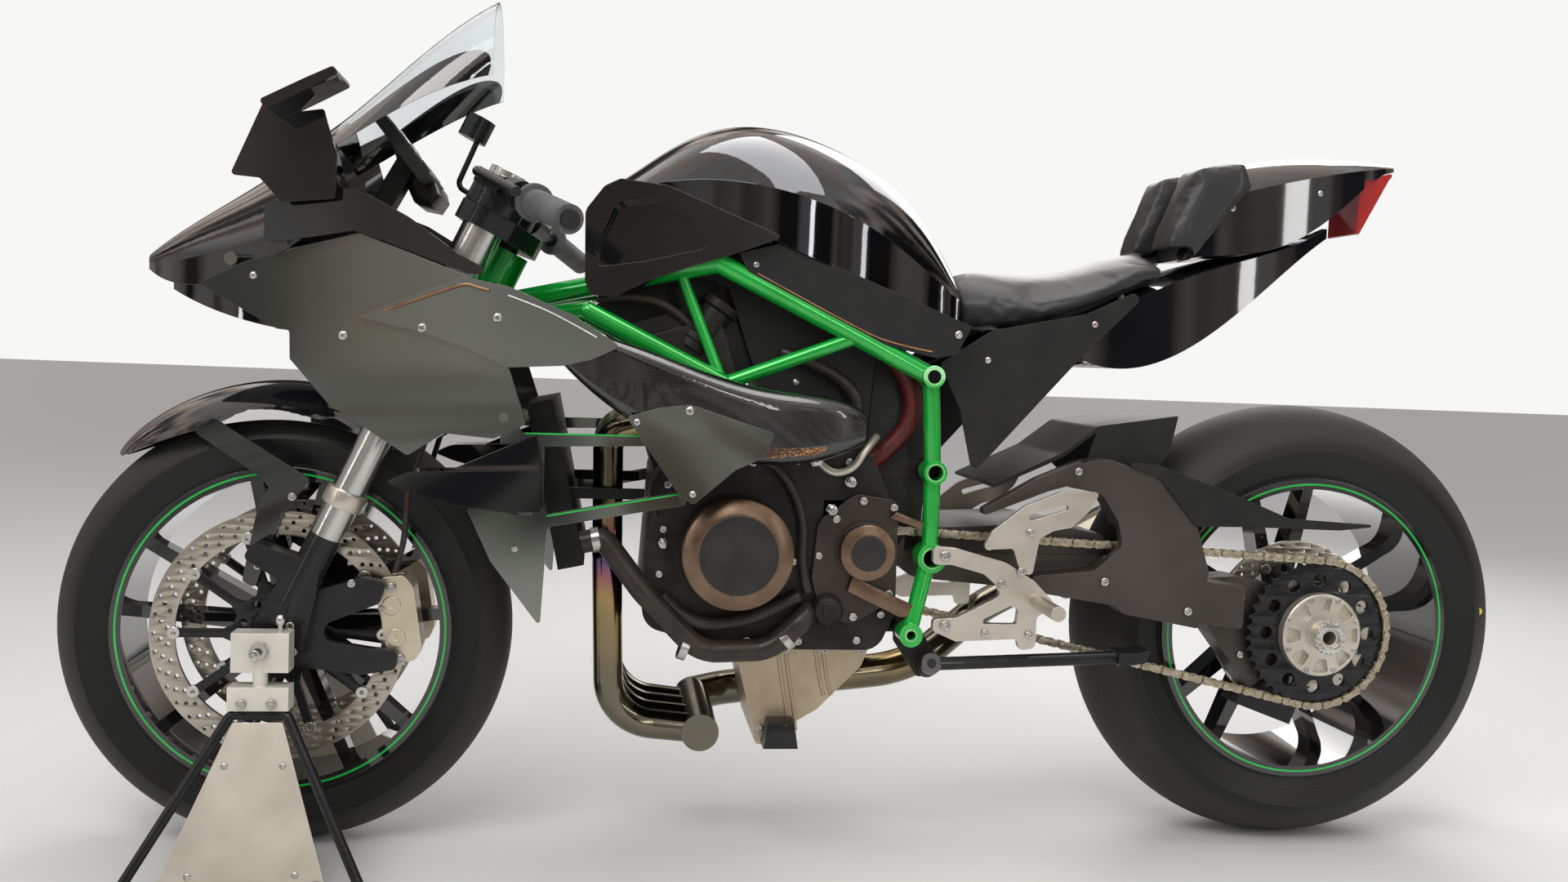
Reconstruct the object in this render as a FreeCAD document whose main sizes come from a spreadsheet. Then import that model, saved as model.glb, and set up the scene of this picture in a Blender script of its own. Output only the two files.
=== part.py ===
import FreeCAD, Part
import math
import os
import re

# A sport bike held upright by a pair of stands clamped to its front axle.
# X runs to the rear, Y to the rider's right, Z up from the floor. Millimetres and degrees.
# The engine's crank case gives the datum of the middle of the machine; the two axles lie
# front_reach ahead of it and rear_reach behind it.

doc = FreeCAD.newDocument("SportBike")
sheet = doc.addObject("Spreadsheet::Sheet", "Sizes")

SIZES = (
    # name, value, what it measures
    ("front_reach", 737.5, "engine datum to front axle"),
    ("rear_reach", 712.5, "engine datum to rear axle"),
    ("front_radius", 300, "front tyre, outer radius"),
    ("rear_radius", 325, "rear tyre, outer radius"),
    ("front_tyre_width", 120, "front tyre at its widest"),
    ("rear_tyre_width", 190, "rear tyre at its widest"),
    ("rim_radius", 216, "bead seat of both rims"),
    ("rim_flange", 6, "height of the rim edges over the bead seat"),
    ("rim_wall", 10, "thickness of the rim barrels"),
    ("front_rim_width", 104, "front rim over its edges"),
    ("rear_rim_width", 168, "rear rim over its edges"),
    ("edge_wall", 5, "thickness of the rim edges"),
    ("fit_gap", 0.3, "clearance between pieces that seat on each other"),
    ("rake", 25.1, "angle of the steering axis from upright"),
    ("trail", 108, "steering axis at the floor to the front contact"),
    ("fork_half_spread", 105, "middle plane to each fork leg"),
    ("fork_outer_radius", 27, "fork outer tubes"),
    ("fork_inner_radius", 21.5, "fork inner tubes"),
    ("fork_collar_radius", 31, "collar at the foot of the outer tubes"),
    ("fork_collar_length", 42, "length of that collar"),
    ("fork_foot_width", 34, "fork feet across the machine"),
    ("fork_joint", 625, "up the steering axis to the lower end of the outer tubes"),
    ("fork_top", 1000, "up the steering axis to the top of the outer tubes"),
    ("lower_clamp", 742, "up the steering axis to the lower clamp's underside"),
    ("upper_clamp", 918, "up the steering axis to the upper clamp's underside"),
    ("lower_clamp_depth", 34, "lower clamp along the steering axis"),
    ("upper_clamp_depth", 26, "upper clamp along the steering axis"),
    ("clamp_wall", 12, "metal around the fork tubes in the clamps"),
    ("stem_radius", 15, "steering stem"),
    ("head_radius", 32, "steering head tube"),
    ("front_axle_radius", 12.5, "front axle"),
    ("front_axle_half", 160, "middle plane to the front axle's ends"),
    ("front_disc_radius", 165, "front brake discs"),
    ("front_disc_inner", 132, "inner edge of the front brake band"),
    ("disc_thickness", 5.5, "brake discs"),
    ("front_disc_plane", 68, "middle plane to each front disc"),
    ("rear_disc_radius", 125, "rear brake disc"),
    ("rear_disc_plane", 42, "middle plane to the rear disc"),
    ("bar_radius", 11, "handlebar tubes"),
    ("bar_ring_radius", 38, "rings that clamp the bars on the fork tubes"),
    ("seat_cross_radius", 9, "frame's cross tube ahead of the subframe"),
    ("grip_radius", 17, "rubber grips"),
    ("grip_length", 118, "rubber grips"),
    ("bar_half_width", 385, "middle plane to the bar ends"),
    ("frame_tube", 13.5, "radius of the frame's tubes"),
    ("frame_half_width", 150, "middle plane to the frame's side tubes"),
    ("pivot_height", 430, "swingarm pivot over the floor"),
    ("pivot_reach", 126, "engine datum to swingarm pivot"),
    ("crank_half_width", 138, "crank case, middle plane to side"),
    ("crank_height", 440, "crankshaft line over the floor"),
    ("barrel_half_width", 128, "cylinders, middle plane to side"),
    ("barrel_lean", 18, "forward lean of the cylinders"),
    ("port_rise", 80, "exhaust ports up the cylinders' front face"),
    ("cover_radius", 74, "generator cover"),
    ("cover_depth", 58, "how far the generator cover stands out"),
    ("clutch_radius", 86, "clutch cover"),
    ("clutch_depth", 60, "how far the clutch cover stands out"),
    ("pan_half_width", 92, "oil pan, middle plane to side"),
    ("chamber_half_width", 95, "intake chamber, middle plane to side"),
    ("radiator_depth", 34, "radiator core fore and aft"),
    ("radiator_width", 300, "radiator core across"),
    ("radiator_rise", 220, "radiator core's height"),
    ("radiator_lean", 12, "lean of the radiator"),
    ("sprocket_reach", 40, "engine datum to the gearbox sprocket"),
    ("sprocket_height", 418, "gearbox sprocket over the floor"),
    ("sprocket_pitch_radius", 45.7, "gearbox sprocket at the chain's pins"),
    ("wheel_pitch_radius", 106.2, "rear sprocket at the chain's pins"),
    ("chain_plane", 112, "middle plane to the chain"),
    ("chain_half_width", 10, "chain over its pins"),
    ("chain_height", 14, "link plates"),
    ("roller_radius", 5.1, "chain rollers"),
    ("sprocket_thickness", 7, "rear sprocket"),
    ("header_radius", 20, "exhaust header pipes"),
    ("collector_radius", 26, "pipe behind the joined headers"),
    ("silencer_radius", 55, "silencer can"),
    ("header_spread", 66, "between neighbouring header pipes"),
    ("hose_radius", 15, "coolant hoses"),
    ("panel_wall", 4, "fairing panels"),
    ("shroud_half", 205, "middle plane to the radiator shroud's outer face"),
    ("kite_half", 241, "middle plane to the kite panel's outer face"),
    ("duct_half_width", 235, "middle plane to the air duct at its widest"),
    ("foil_half_width", 262, "middle plane to the tips of the lower winglets"),
    ("wing_half_width", 265, "middle plane to the tips of the upper wings"),
    ("tank_half_width", 165, "fuel tank at its widest"),
    ("tank_top", 1013, "top of the fuel tank over the floor"),
    ("seat_height", 823, "lowest point of the seat over the floor"),
    ("seat_half_width", 108, "seat at its widest"),
    ("tail_half_width", 84, "tail cowl at its widest"),
    ("tail_face_lean", 32.3, "lean of the tail's front face"),
    ("lamp_half_width", 40, "tail light, middle plane to side"),
    ("rail_half", 76, "middle plane to the subframe rails' outer faces"),
    ("rail_wall", 14, "thickness of the subframe rails"),
    ("arm_outer", 142, "middle plane to the swingarm's outer face"),
    ("arm_inner", 126, "middle plane to the inside of the swingarm's outer wall"),
    ("hub_bore", 34, "bore of the swingarm's hub"),
    ("hub_radius", 72, "swingarm's hub housing"),
    ("spindle_radius", 30, "rear wheel spindle"),
    ("spindle_bore", 10, "hole through the rear spindle"),
    ("stand_bar", 6.5, "radius of the axle stand's bars"),
    ("stand_foot_half", 256, "middle plane to the axle stand's foot bars"),
    ("stand_top_half", 170, "middle plane to the top of the axle stand's frame"),
    ("stand_top", 218, "top of the axle stand's frame over the floor"),
    ("stand_length", 300, "axle stand along the floor"),
    ("stand_clamp_width", 70, "axle clamp blocks fore and aft"),
    ("stand_plate_wall", 3, "sheet hung in the axle stand's frame"),
    ("side_bar", 9, "radius of the side stand's leg"),
)
for line, (name, number, note) in enumerate(SIZES, start=1):
    sheet.set("A%d" % line, note)
    sheet.set("B%d" % line, str(number))
    sheet.setAlias("B%d" % line, name)
doc.recompute()
size = {name: float(sheet.get(name)) for name, number, note in SIZES}

# Datum lines
engine_x = (size["front_reach"] - size["rear_reach"] + size["front_radius"] - size["rear_radius"]) / 2
front_x = engine_x - size["front_reach"]
rear_x = engine_x + size["rear_reach"]
pivot_x = engine_x + size["pivot_reach"]
front_z = size["front_radius"]
rear_z = size["rear_radius"]
gap = size["fit_gap"]
rake = math.radians(size["rake"])
steer_x = front_x - size["trail"]
# where frame and engine are bolted together at the rear: ahead of the datum, over the floor
LINKAGE = (125, 546)
HANGER = (99, 327)

ALONG_Y = FreeCAD.Rotation(FreeCAD.Vector(1, 0, 0), -90)
UPRIGHT = FreeCAD.Rotation()
# The steering frame: its Z runs up the steering axis from the floor, its -X points forward.
steering = FreeCAD.Placement(
    FreeCAD.Vector(steer_x, 0, 0), FreeCAD.Rotation(FreeCAD.Vector(0, 1, 0), size["rake"]))
fork_offset = size["front_radius"] * math.sin(rake) - size["trail"] * math.cos(rake)
axle_up = size["trail"] * math.sin(rake) + size["front_radius"] * math.cos(rake)


def front(x):
    return front_x + x


def mid(x):
    return engine_x + x


def rear(x):
    return rear_x + x


# Makers of shapes

def bind(item, prop, expression):
    item.setExpression(prop, re.sub(r"[a-z][a-z_]+", lambda word: "Sizes." + word.group(), expression))


def turned(base, rotation):
    return FreeCAD.Placement(FreeCAD.Vector(*base), rotation)


def cylinder(name, radius, length, base, rotation=UPRIGHT):
    item = doc.addObject("Part::Cylinder", name)
    bind(item, "Radius", radius)
    bind(item, "Height", length)
    item.Placement = turned(base, rotation)
    return item


def box(name, length, width, height, base, rotation=UPRIGHT):
    item = doc.addObject("Part::Box", name)
    bind(item, "Length", length)
    bind(item, "Width", width)
    bind(item, "Height", height)
    item.Placement = turned(base, rotation)
    return item


def rod(name, radius, start, end):
    # a round bar between two points
    first = FreeCAD.Vector(*start)
    way = FreeCAD.Vector(*end) - first
    item = doc.addObject("Part::Cylinder", name)
    bind(item, "Radius", radius)
    item.Height = way.Length
    item.Placement = FreeCAD.Placement(first, FreeCAD.Rotation(FreeCAD.Vector(0, 0, 1), way))
    return item


def ball(name, radius, centre):
    item = doc.addObject("Part::Sphere", name)
    bind(item, "Radius", radius)
    item.Placement = turned(centre, UPRIGHT)
    return item


def corner(before, here, after, radius):
    # start, middle and end of the arc that rounds one corner
    back = (before - here).normalize()
    ahead = (after - here).normalize()
    half = back.getAngle(ahead) / 2
    reach = radius / math.tan(half)
    middle = (back + ahead).normalize() * (radius / math.sin(half) - radius)
    return here + back * reach, here + middle, here + ahead * reach


def edges_of(points, closed=True):
    # points are (u, v, corner radius) in a sketch, or (x, y, z, bend radius) in space
    places = [FreeCAD.Vector(*point[:-1]) if len(point) == 4 else FreeCAD.Vector(point[0], point[1], 0)
              for point in points]
    radii = [point[-1] for point in points]
    edges = []
    count = len(places)
    stops = []
    for index in range(count):
        inside = closed or 0 < index < count - 1
        if radii[index] and inside:
            stops.append(corner(places[index - 1], places[index], places[(index + 1) % count],
                                radii[index]))
        else:
            stops.append((places[index], None, places[index]))
    for index in range(count):
        start, middle, end = stops[index]
        if middle is not None:
            edges.append(Part.Arc(start, middle, end))
        if index < count - 1 or closed:
            following = stops[(index + 1) % count][0]
            if (following - end).Length > 0.01:
                edges.append(Part.LineSegment(end, following))
    return edges


def tube(name, radius, points, closed=False):
    # a round tube along straight runs joined by tangent bends
    edges = [edge.toShape() for edge in edges_of(points, closed)]
    path = Part.Wire(edges)
    first = edges[0]
    start = first.valueAt(first.FirstParameter)
    heading = first.tangentAt(first.FirstParameter)
    ring = Part.Wire([Part.makeCircle(radius, start, heading)])
    item = doc.addObject("Part::Feature", name)
    item.Shape = path.makePipeShell([ring], True, True)
    return item


def body(name):
    return doc.addObject("PartDesign::Body", name)


def sketch(host, role, edges, offset=0.0):
    item = host.newObject("Sketcher::SketchObject", host.Name + "Outline")
    plane = [feature for feature in host.Origin.OriginFeatures if feature.Role == role][0]
    item.AttachmentSupport = [(plane, "")]
    item.MapMode = "FlatFace"
    item.AttachmentOffset = FreeCAD.Placement(FreeCAD.Vector(0, 0, offset), UPRIGHT)
    item.addGeometry(edges, False)
    return item


def slab(name, points, outer, thickness):
    # a side-view outline, its outer face at Y = -outer, as thick as the expression says
    host = body(name)
    pad = host.newObject("PartDesign::Pad", name + "Pad")
    bind(pad, "Length", thickness)
    doc.recompute([pad])
    pad.Profile = sketch(host, "XZ_Plane", edges_of(points), outer - pad.Length.Value)
    return host


def turning(name, points):
    # a closed profile (radius, y, corner radius) turned about the Y axis
    host = body(name)
    profile = sketch(host, "XY_Plane", edges_of(points))
    item = host.newObject("PartDesign::Revolution", name + "Turn")
    item.Profile = profile
    item.ReferenceAxis = (profile, ["V_Axis"])
    item.Angle = 360
    return host


def dome(half_width, bottom, shoulder, top):
    # a section across the machine: flat floor, upright sides, crowned top
    left = FreeCAD.Vector(-half_width, bottom, 0)
    right = FreeCAD.Vector(half_width, bottom, 0)
    right_up = FreeCAD.Vector(half_width, shoulder, 0)
    left_up = FreeCAD.Vector(-half_width, shoulder, 0)
    return [Part.LineSegment(left, right), Part.LineSegment(right, right_up),
            Part.Arc(right_up, FreeCAD.Vector(0, top, 0), left_up), Part.LineSegment(left_up, left)]


def leaf(name, points, thickness, origin, yaw, tilt=0.0):
    # a flat panel, turned about the upright and then leaned, its outer face through the origin
    host = slab(name, points, 0.0, thickness)
    turn = FreeCAD.Rotation(FreeCAD.Vector(0, 0, 1), yaw)
    lean = FreeCAD.Rotation(FreeCAD.Vector(1, 0, 0), tilt)
    host.Placement = FreeCAD.Placement(FreeCAD.Vector(*origin), turn * lean)
    return host


def loft(name, stations, ruled=False):
    # stations along X: (x, list of sketch edges)
    host = body(name)
    sections = [sketch(host, "YZ_Plane", edges, x) for x, edges in stations]
    item = host.newObject("PartDesign::AdditiveLoft", name + "Loft")
    item.Profile = sections[0]
    item.Sections = sections[1:]
    item.Ruled = ruled
    return host


def mirrored(source):
    item = doc.addObject("Part::Mirroring", source.Name + "Right")
    item.Source = source
    item.Normal = FreeCAD.Vector(0, 1, 0)
    return item


def fused(name, items):
    item = doc.addObject("Part::MultiFuse", name)
    item.Shapes = items
    item.Refine = True
    return item


def cut(name, base, tool):
    item = doc.addObject("Part::Cut", name)
    item.Base = base
    item.Tool = tool
    return item


def group(name, items):
    item = doc.addObject("Part::Compound", name)
    item.Links = items
    return item


def pair(name, source):
    return group(name, [source, mirrored(source)])


subparts = {}


def node(label, item, placement=None):
    item.Label = label
    if placement is not None:
        item.Placement = placement
    subparts[label] = item
    return item


# Wheels

def tyre(label, radius, width, x, rim_width):
    half = width / 2
    bead = size["rim_radius"] + gap
    inside = rim_width / 2 - size["edge_wall"] - gap
    wide = radius - half * 0.66
    lip = size["rim_radius"] + size["rim_flange"] + 3
    profile = [Part.LineSegment(FreeCAD.Vector(bead, -inside, 0), FreeCAD.Vector(lip, -inside, 0)),
               Part.LineSegment(FreeCAD.Vector(lip, -inside, 0), FreeCAD.Vector(wide, -half, 0)),
               Part.Arc(FreeCAD.Vector(wide, -half, 0), FreeCAD.Vector(radius, 0, 0),
                        FreeCAD.Vector(wide, half, 0)),
               Part.LineSegment(FreeCAD.Vector(wide, half, 0), FreeCAD.Vector(lip, inside, 0)),
               Part.LineSegment(FreeCAD.Vector(lip, inside, 0), FreeCAD.Vector(bead, inside, 0)),
               Part.LineSegment(FreeCAD.Vector(bead, inside, 0), FreeCAD.Vector(bead, -inside, 0))]
    host = body(label)
    outline = sketch(host, "XY_Plane", profile)
    item = host.newObject("PartDesign::Revolution", label + "Turn")
    item.Profile = outline
    item.ReferenceAxis = (outline, ["V_Axis"])
    item.Angle = 360
    node(label, host, turned((x, 0, radius), UPRIGHT))


def rim(label, x, z, rim_width, hub, spoke_plane, spoke_depth, bore):
    # barrel, hub and five pairs of spokes
    half = rim_width / 2
    seat = size["rim_radius"]
    edge = seat + size["rim_flange"]
    under = seat - size["rim_wall"]
    wall = size["edge_wall"]
    barrel = [(under, -half, 0), (edge, -half, 1.5), (edge, -half + wall, 1.5), (seat, -half + wall, 0),
              (seat, half - wall, 0), (edge, half - wall, 1.5), (edge, half, 1.5), (under, half, 0)]
    ring = turning(label + "Barrel", barrel)
    hub_radius, hub_left, hub_right = hub
    centre = turning(label + "Hub", [(bore, -hub_left, 0), (hub_radius, -hub_left, 3),
                                     (hub_radius, hub_right, 3), (bore, hub_right, 0)])
    spokes = []
    for index in range(5):
        for side in (-1, 1):
            angle = index * 72 + side * 13
            spoke = doc.addObject("Part::Wedge", "%sSpoke" % label)
            spoke.Xmin, spoke.Xmax = -11, 11
            spoke.X2min, spoke.X2max = -8, 8
            spoke.Zmin, spoke.Zmax = -spoke_depth / 2, spoke_depth / 2
            spoke.Z2min, spoke.Z2max = -spoke_depth / 2.6, spoke_depth / 2.6
            spoke.Ymin = hub_radius - 8
            spoke.Ymax = under + size["rim_wall"] / 2
            lean = FreeCAD.Rotation(FreeCAD.Vector(0, 1, 0), angle)
            stand = FreeCAD.Rotation(FreeCAD.Vector(1, 0, 0), 90)
            spoke.Placement = FreeCAD.Placement(FreeCAD.Vector(0, spoke_plane, 0), lean * stand)
            spokes.append(spoke)
    node(label, fused(label, [ring, centre] + spokes), turned((x, 0, z), UPRIGHT))


def front_wheel():
    tyre("front_tyre", size["front_radius"], size["front_tyre_width"], front_x, size["front_rim_width"])
    disc_inner_face = size["front_disc_plane"] - size["disc_thickness"] / 2
    rim("front_rim", front_x, front_z, size["front_rim_width"],
        (42, disc_inner_face - gap, disc_inner_face - gap), 0, 34, size["front_axle_radius"] + 0.6)
    plane = size["front_disc_plane"]
    half = size["disc_thickness"] / 2
    band = turning("DiscBand",
                   [(size["front_disc_inner"], plane - half, 0),
                    (size["front_disc_radius"], plane - half, 0),
                    (size["front_disc_radius"], plane + half, 0),
                    (size["front_disc_inner"], plane + half, 0)])
    carrier = turning("DiscCarrier", [(36, plane - half, 0), (80, plane - half, 0),
                                      (80, plane + half, 0), (36, plane + half, 0)])
    arms = []
    for index in range(5):
        arm = doc.addObject("Part::Box", "DiscArm")
        arm.Length = size["front_disc_inner"] - 70
        arm.Width = size["disc_thickness"]
        arm.Height = 26
        spin = FreeCAD.Rotation(FreeCAD.Vector(0, 1, 0), index * 72 + 36)
        arm.Placement = FreeCAD.Placement(spin.multVec(FreeCAD.Vector(74, plane - half, -13)), spin)
        arms.append(arm)
    disc = fused("FrontDiscLeft", [band, carrier] + arms)
    node("front_discs", pair("FrontDiscs", disc), turned((front_x, 0, front_z), UPRIGHT))


# Front end, in the steering frame

def fork():
    spread = size["fork_half_spread"]
    joint = size["fork_joint"]
    outer = cylinder("ForkOuter", "fork_outer_radius", "fork_top - fork_joint",
                     (-fork_offset, -spread, joint))
    collar = cylinder("ForkCollar", "fork_collar_radius", "fork_collar_length",
                      (-fork_offset, -spread, joint))
    node("fork_outer_tubes", pair("ForkOuters", fused("ForkOuterLeft", [outer, collar])), steering)
    inner = cylinder("ForkInner", "fork_inner_radius", "%f - %f" % (joint, axle_up + 24),
                     (-fork_offset, -spread, axle_up + 24))
    foot = body("ForkFoot")
    foot_edges = edges_of([(-fork_offset - 30, axle_up - 34, 14), (-fork_offset + 30, axle_up - 34, 8),
                           (-fork_offset + 40, axle_up - 16, 6), (-fork_offset + 36, axle_up + 30, 8),
                           (-fork_offset + 26, axle_up + 76, 8), (-fork_offset + 12, axle_up + 118, 4),
                           (-fork_offset - 76, axle_up + 108, 8), (-fork_offset - 78, axle_up + 84, 8),
                           (-fork_offset - 26, axle_up + 78, 8)])
    pad = foot.newObject("PartDesign::Pad", "ForkFootPad")
    bind(pad, "Length", "fork_foot_width")
    pad.Profile = sketch(foot, "XZ_Plane", foot_edges, spread - size["fork_foot_width"] / 2)
    hole = cylinder("ForkFootHole", "front_axle_radius + fit_gap / 2", "60",
                    (-fork_offset, -spread - 30, axle_up), ALONG_Y)
    # two arms that carry the caliper: along the leg's normal, up the leg
    arm_outline = [(30, -24, 8), (120, 4, 8), (158, 30, 8), (150, 54, 8), (118, 42, 8), (56, 24, 14),
                   (50, 46, 12), (100, 100, 8), (96, 130, 8), (66, 122, 8), (20, 80, 8)]
    arms = slab("CaliperArms",
                [(across - fork_offset, axle_up + up, bend) for across, up, bend in arm_outline],
                spread - size["fork_foot_width"] / 2 + 14, "14")
    leg = cut("ForkInnerLeft", fused("ForkLeg", [inner, foot, arms]), hole)
    node("fork_inner_tubes", pair("ForkInners", leg), steering)


def axle():
    shaft = cylinder("AxleShaft", "front_axle_radius", "2 * front_axle_half",
                     (front_x, -size["front_axle_half"], front_z), ALONG_Y)
    node("front_axle", shaft)


def clamp(name, up, depth, stem_reach):
    spread = size["fork_half_spread"]
    ring_radius = size["fork_outer_radius"] + size["clamp_wall"]
    edges = edges_of([(-fork_offset - ring_radius, -spread - 16, 14),
                      (-fork_offset - ring_radius * 0.8, 0, 60),
                      (-fork_offset - ring_radius, spread + 16, 14),
                      (-fork_offset - 8, spread + ring_radius, 20),
                      (-fork_offset + ring_radius, spread + 14, 16), (stem_reach, 34, 20),
                      (stem_reach, -34, 20), (-fork_offset + ring_radius, -spread - 14, 16),
                      (-fork_offset - 8, -spread - ring_radius, 20)])
    host = body(name)
    pad = host.newObject("PartDesign::Pad", name + "Pad")
    bind(pad, "Length", depth)
    pad.Profile = sketch(host, "XY_Plane", edges, up)
    bores = [cylinder(name + "Bore", "fork_outer_radius + fit_gap / 2", "90",
                      (-fork_offset, side * spread, up - 20)) for side in (-1, 1)]
    return cut(name + "Cut", host, group(name + "Bores", bores))


def triple_clamps():
    lower = clamp("LowerClamp", size["lower_clamp"], "lower_clamp_depth", 40)
    stem = cylinder("Stem", "stem_radius", "upper_clamp - lower_clamp - fit_gap",
                    (0, 0, size["lower_clamp"]))
    upper = clamp("UpperClamp", size["upper_clamp"], "upper_clamp_depth", 38)
    node("triple_clamps", group("TripleClamps", [fused("LowerClampStem", [lower, stem]), upper]),
         steering)


def bar_line():
    # centre line of the left bar in the steering frame: inner end and outer end
    up = size["fork_top"] - 24
    return (-fork_offset, -size["fork_half_spread"] - 40, up), (84, -size["bar_half_width"], up - 14)


def handlebars():
    spread = size["fork_half_spread"]
    seat = size["upper_clamp"] + size["upper_clamp_depth"] + gap
    inner, outer = bar_line()
    ring = cylinder("BarRing", "bar_ring_radius", "30", (-fork_offset, -spread, seat))
    bore = cylinder("BarBore", "fork_outer_radius + fit_gap / 2", "60",
                    (-fork_offset, -spread, seat - 10))
    bar = rod("BarTube", "bar_radius", inner, outer)
    lug = rod("BarLug", "bar_radius + 5", (inner[0], -spread - 34, inner[2]),
              point_on(inner, outer, 0.12))
    left = cut("HandlebarLeft", fused("HandlebarRaw", [ring, bar, lug]), bore)
    node("handlebars", pair("Handlebars", left), steering)


def point_on(start, end, share):
    return tuple(a + (b - a) * share for a, b in zip(start, end))


def grips():
    inner, outer = bar_line()
    span = math.dist(inner, outer)
    near = point_on(inner, outer, 1 - (size["grip_length"] + 6) / span)
    far = point_on(inner, outer, 1 - 6 / span)
    tip = point_on(inner, outer, 1 + 10 / span)
    flange_start = point_on(inner, outer, 1 - (size["grip_length"] + 14) / span)
    bore = "bar_radius + fit_gap / 2"
    sleeve = cut("GripSleeve", rod("GripOuter", "grip_radius", near, far),
                 rod("GripBore", bore, inner, tip))
    collar = cut("GripCollar", rod("GripFlange", "grip_radius + 6", flange_start, near),
                 rod("GripFlangeBore", bore, inner, outer))
    node("grips", pair("Grips", fused("GripLeft", [sleeve, collar])), steering)


def controls():
    # perch clamped on each bar with its lever, and the brake fluid cup on a stay from the right bar's ring
    inner, outer = bar_line()
    clamp_in = point_on(inner, outer, 0.20)
    clamp_out = point_on(inner, outer, 0.34)
    perch = cut("PerchRing", rod("PerchOuter", "bar_radius + 8", clamp_in, clamp_out),
                rod("PerchBore", "bar_radius + fit_gap / 2", inner, outer))
    x, y, z = point_on(inner, outer, 0.27)
    arm = box("PerchArm", "31", "26", "18", (x - 54, y - 12, z - 9))
    tip = point_on(inner, outer, 0.90)
    blade = tube("LeverBlade", 6,
                 [(x - 40, y + 6, z, 0), (x - 52, y - 40, z, 22), (tip[0] - 58, tip[1], tip[2], 0)])
    left = fused("LeverLeft", [perch, arm, blade])
    cup_x, cup_y, cup_z = -124, 92, size["fork_top"] + 34
    cup = cylinder("ReservoirCup", "21", "34", (cup_x, cup_y, cup_z))
    way = FreeCAD.Vector(cup_x + fork_offset, cup_y - size["fork_half_spread"], 0).normalize()
    ring_side = FreeCAD.Vector(-fork_offset, size["fork_half_spread"], size["fork_top"] - 36)
    start = ring_side + way * (size["bar_ring_radius"] + gap)
    elbow = ring_side + way * 84
    stay = tube("ReservoirStay", 4, [(*start, 0), (*elbow, 12), (cup_x + 8, cup_y, cup_z + 6, 0)])
    node("controls", group("Controls", [left, mirrored(left), fused("Reservoir", [cup, stay])]),
         steering)


def fender():
    # arch over the front tyre with a leg down to each fork foot
    radius = size["front_radius"]
    over = radius + 18
    half = size["front_tyre_width"] / 2 + 18
    sections = []
    # angle above the rear horizon, half width, crown, drop of the side lip
    for degrees, width, crown, drop in ((60, half, 10, 30), (80, half, 16, 32), (100, half, 18, 32),
                                        (122, half * 0.8, 14, 22), (134, 14, 5, 3)):
        angle = math.radians(degrees)
        out = FreeCAD.Vector(math.cos(angle), 0, math.sin(angle))
        base = out * over
        side = FreeCAD.Vector(0, 1, 0)
        low = base - out * drop
        wall = size["panel_wall"]
        outer = Part.Arc(low - side * width, base + out * crown, low + side * width).toShape()
        inner = Part.Arc(low + side * (width - wall), base + out * (crown - wall),
                         low - side * (width - wall)).toShape()
        right_lip = Part.LineSegment(low + side * width, low + side * (width - wall)).toShape()
        left_lip = Part.LineSegment(low - side * (width - wall), low - side * width).toShape()
        sections.append(Part.Wire([outer, right_lip, inner, left_lip]))
    top = doc.addObject("Part::Feature", "FenderArch")
    top.Shape = Part.makeLoft(sections, True, False)
    leg_side = half + 2
    leg = slab("FenderLeg", [(-110, 268, 6), (-84, 286, 6), (40, 208, 8), (4, 164, 8), (-30, 62, 6),
                             (-46, 72, 6), (-26, 178, 14), (-10, 200, 10)], leg_side, "panel_wall")
    foot_side = size["fork_half_spread"] - size["fork_foot_width"] / 2
    boss = cylinder("FenderBoss", "8", str(foot_side - gap - leg_side + 1),
                    (-20, -foot_side + gap, 114), ALONG_Y)
    legs = pair("FenderLegs", fused("FenderLegRaw", [leg, boss]))
    node("front_fender", fused("Fender", [top, legs]), turned((front_x, 0, front_z), UPRIGHT))


def calipers():
    plane = size["front_disc_plane"]
    reach = size["front_disc_radius"] - 6
    side = size["fork_half_spread"] - size["fork_foot_width"] / 2 - gap - plane
    block = slab("CaliperBlock",
                 [(-22, -50, 6), (-14, -58, 6), (14, -58, 10), (24, -40, 12), (24, 40, 12),
                  (14, 58, 10), (-14, 58, 6), (-22, 50, 6)], side, str(2 * side))
    slot = box("CaliperSlot", "60", "disc_thickness + 5", "140",
               (-48, -size["disc_thickness"] / 2 - 2.5, -70))
    left = cut("CaliperLeft", block, slot)
    angle = 9
    spin = FreeCAD.Rotation(FreeCAD.Vector(0, 1, 0), -angle)
    left.Placement = FreeCAD.Placement(
        FreeCAD.Vector(front_x + reach * math.cos(math.radians(angle)), -plane,
                       front_z + reach * math.sin(math.radians(angle))), spin)
    node("front_calipers", pair("FrontCalipers", left))


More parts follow.
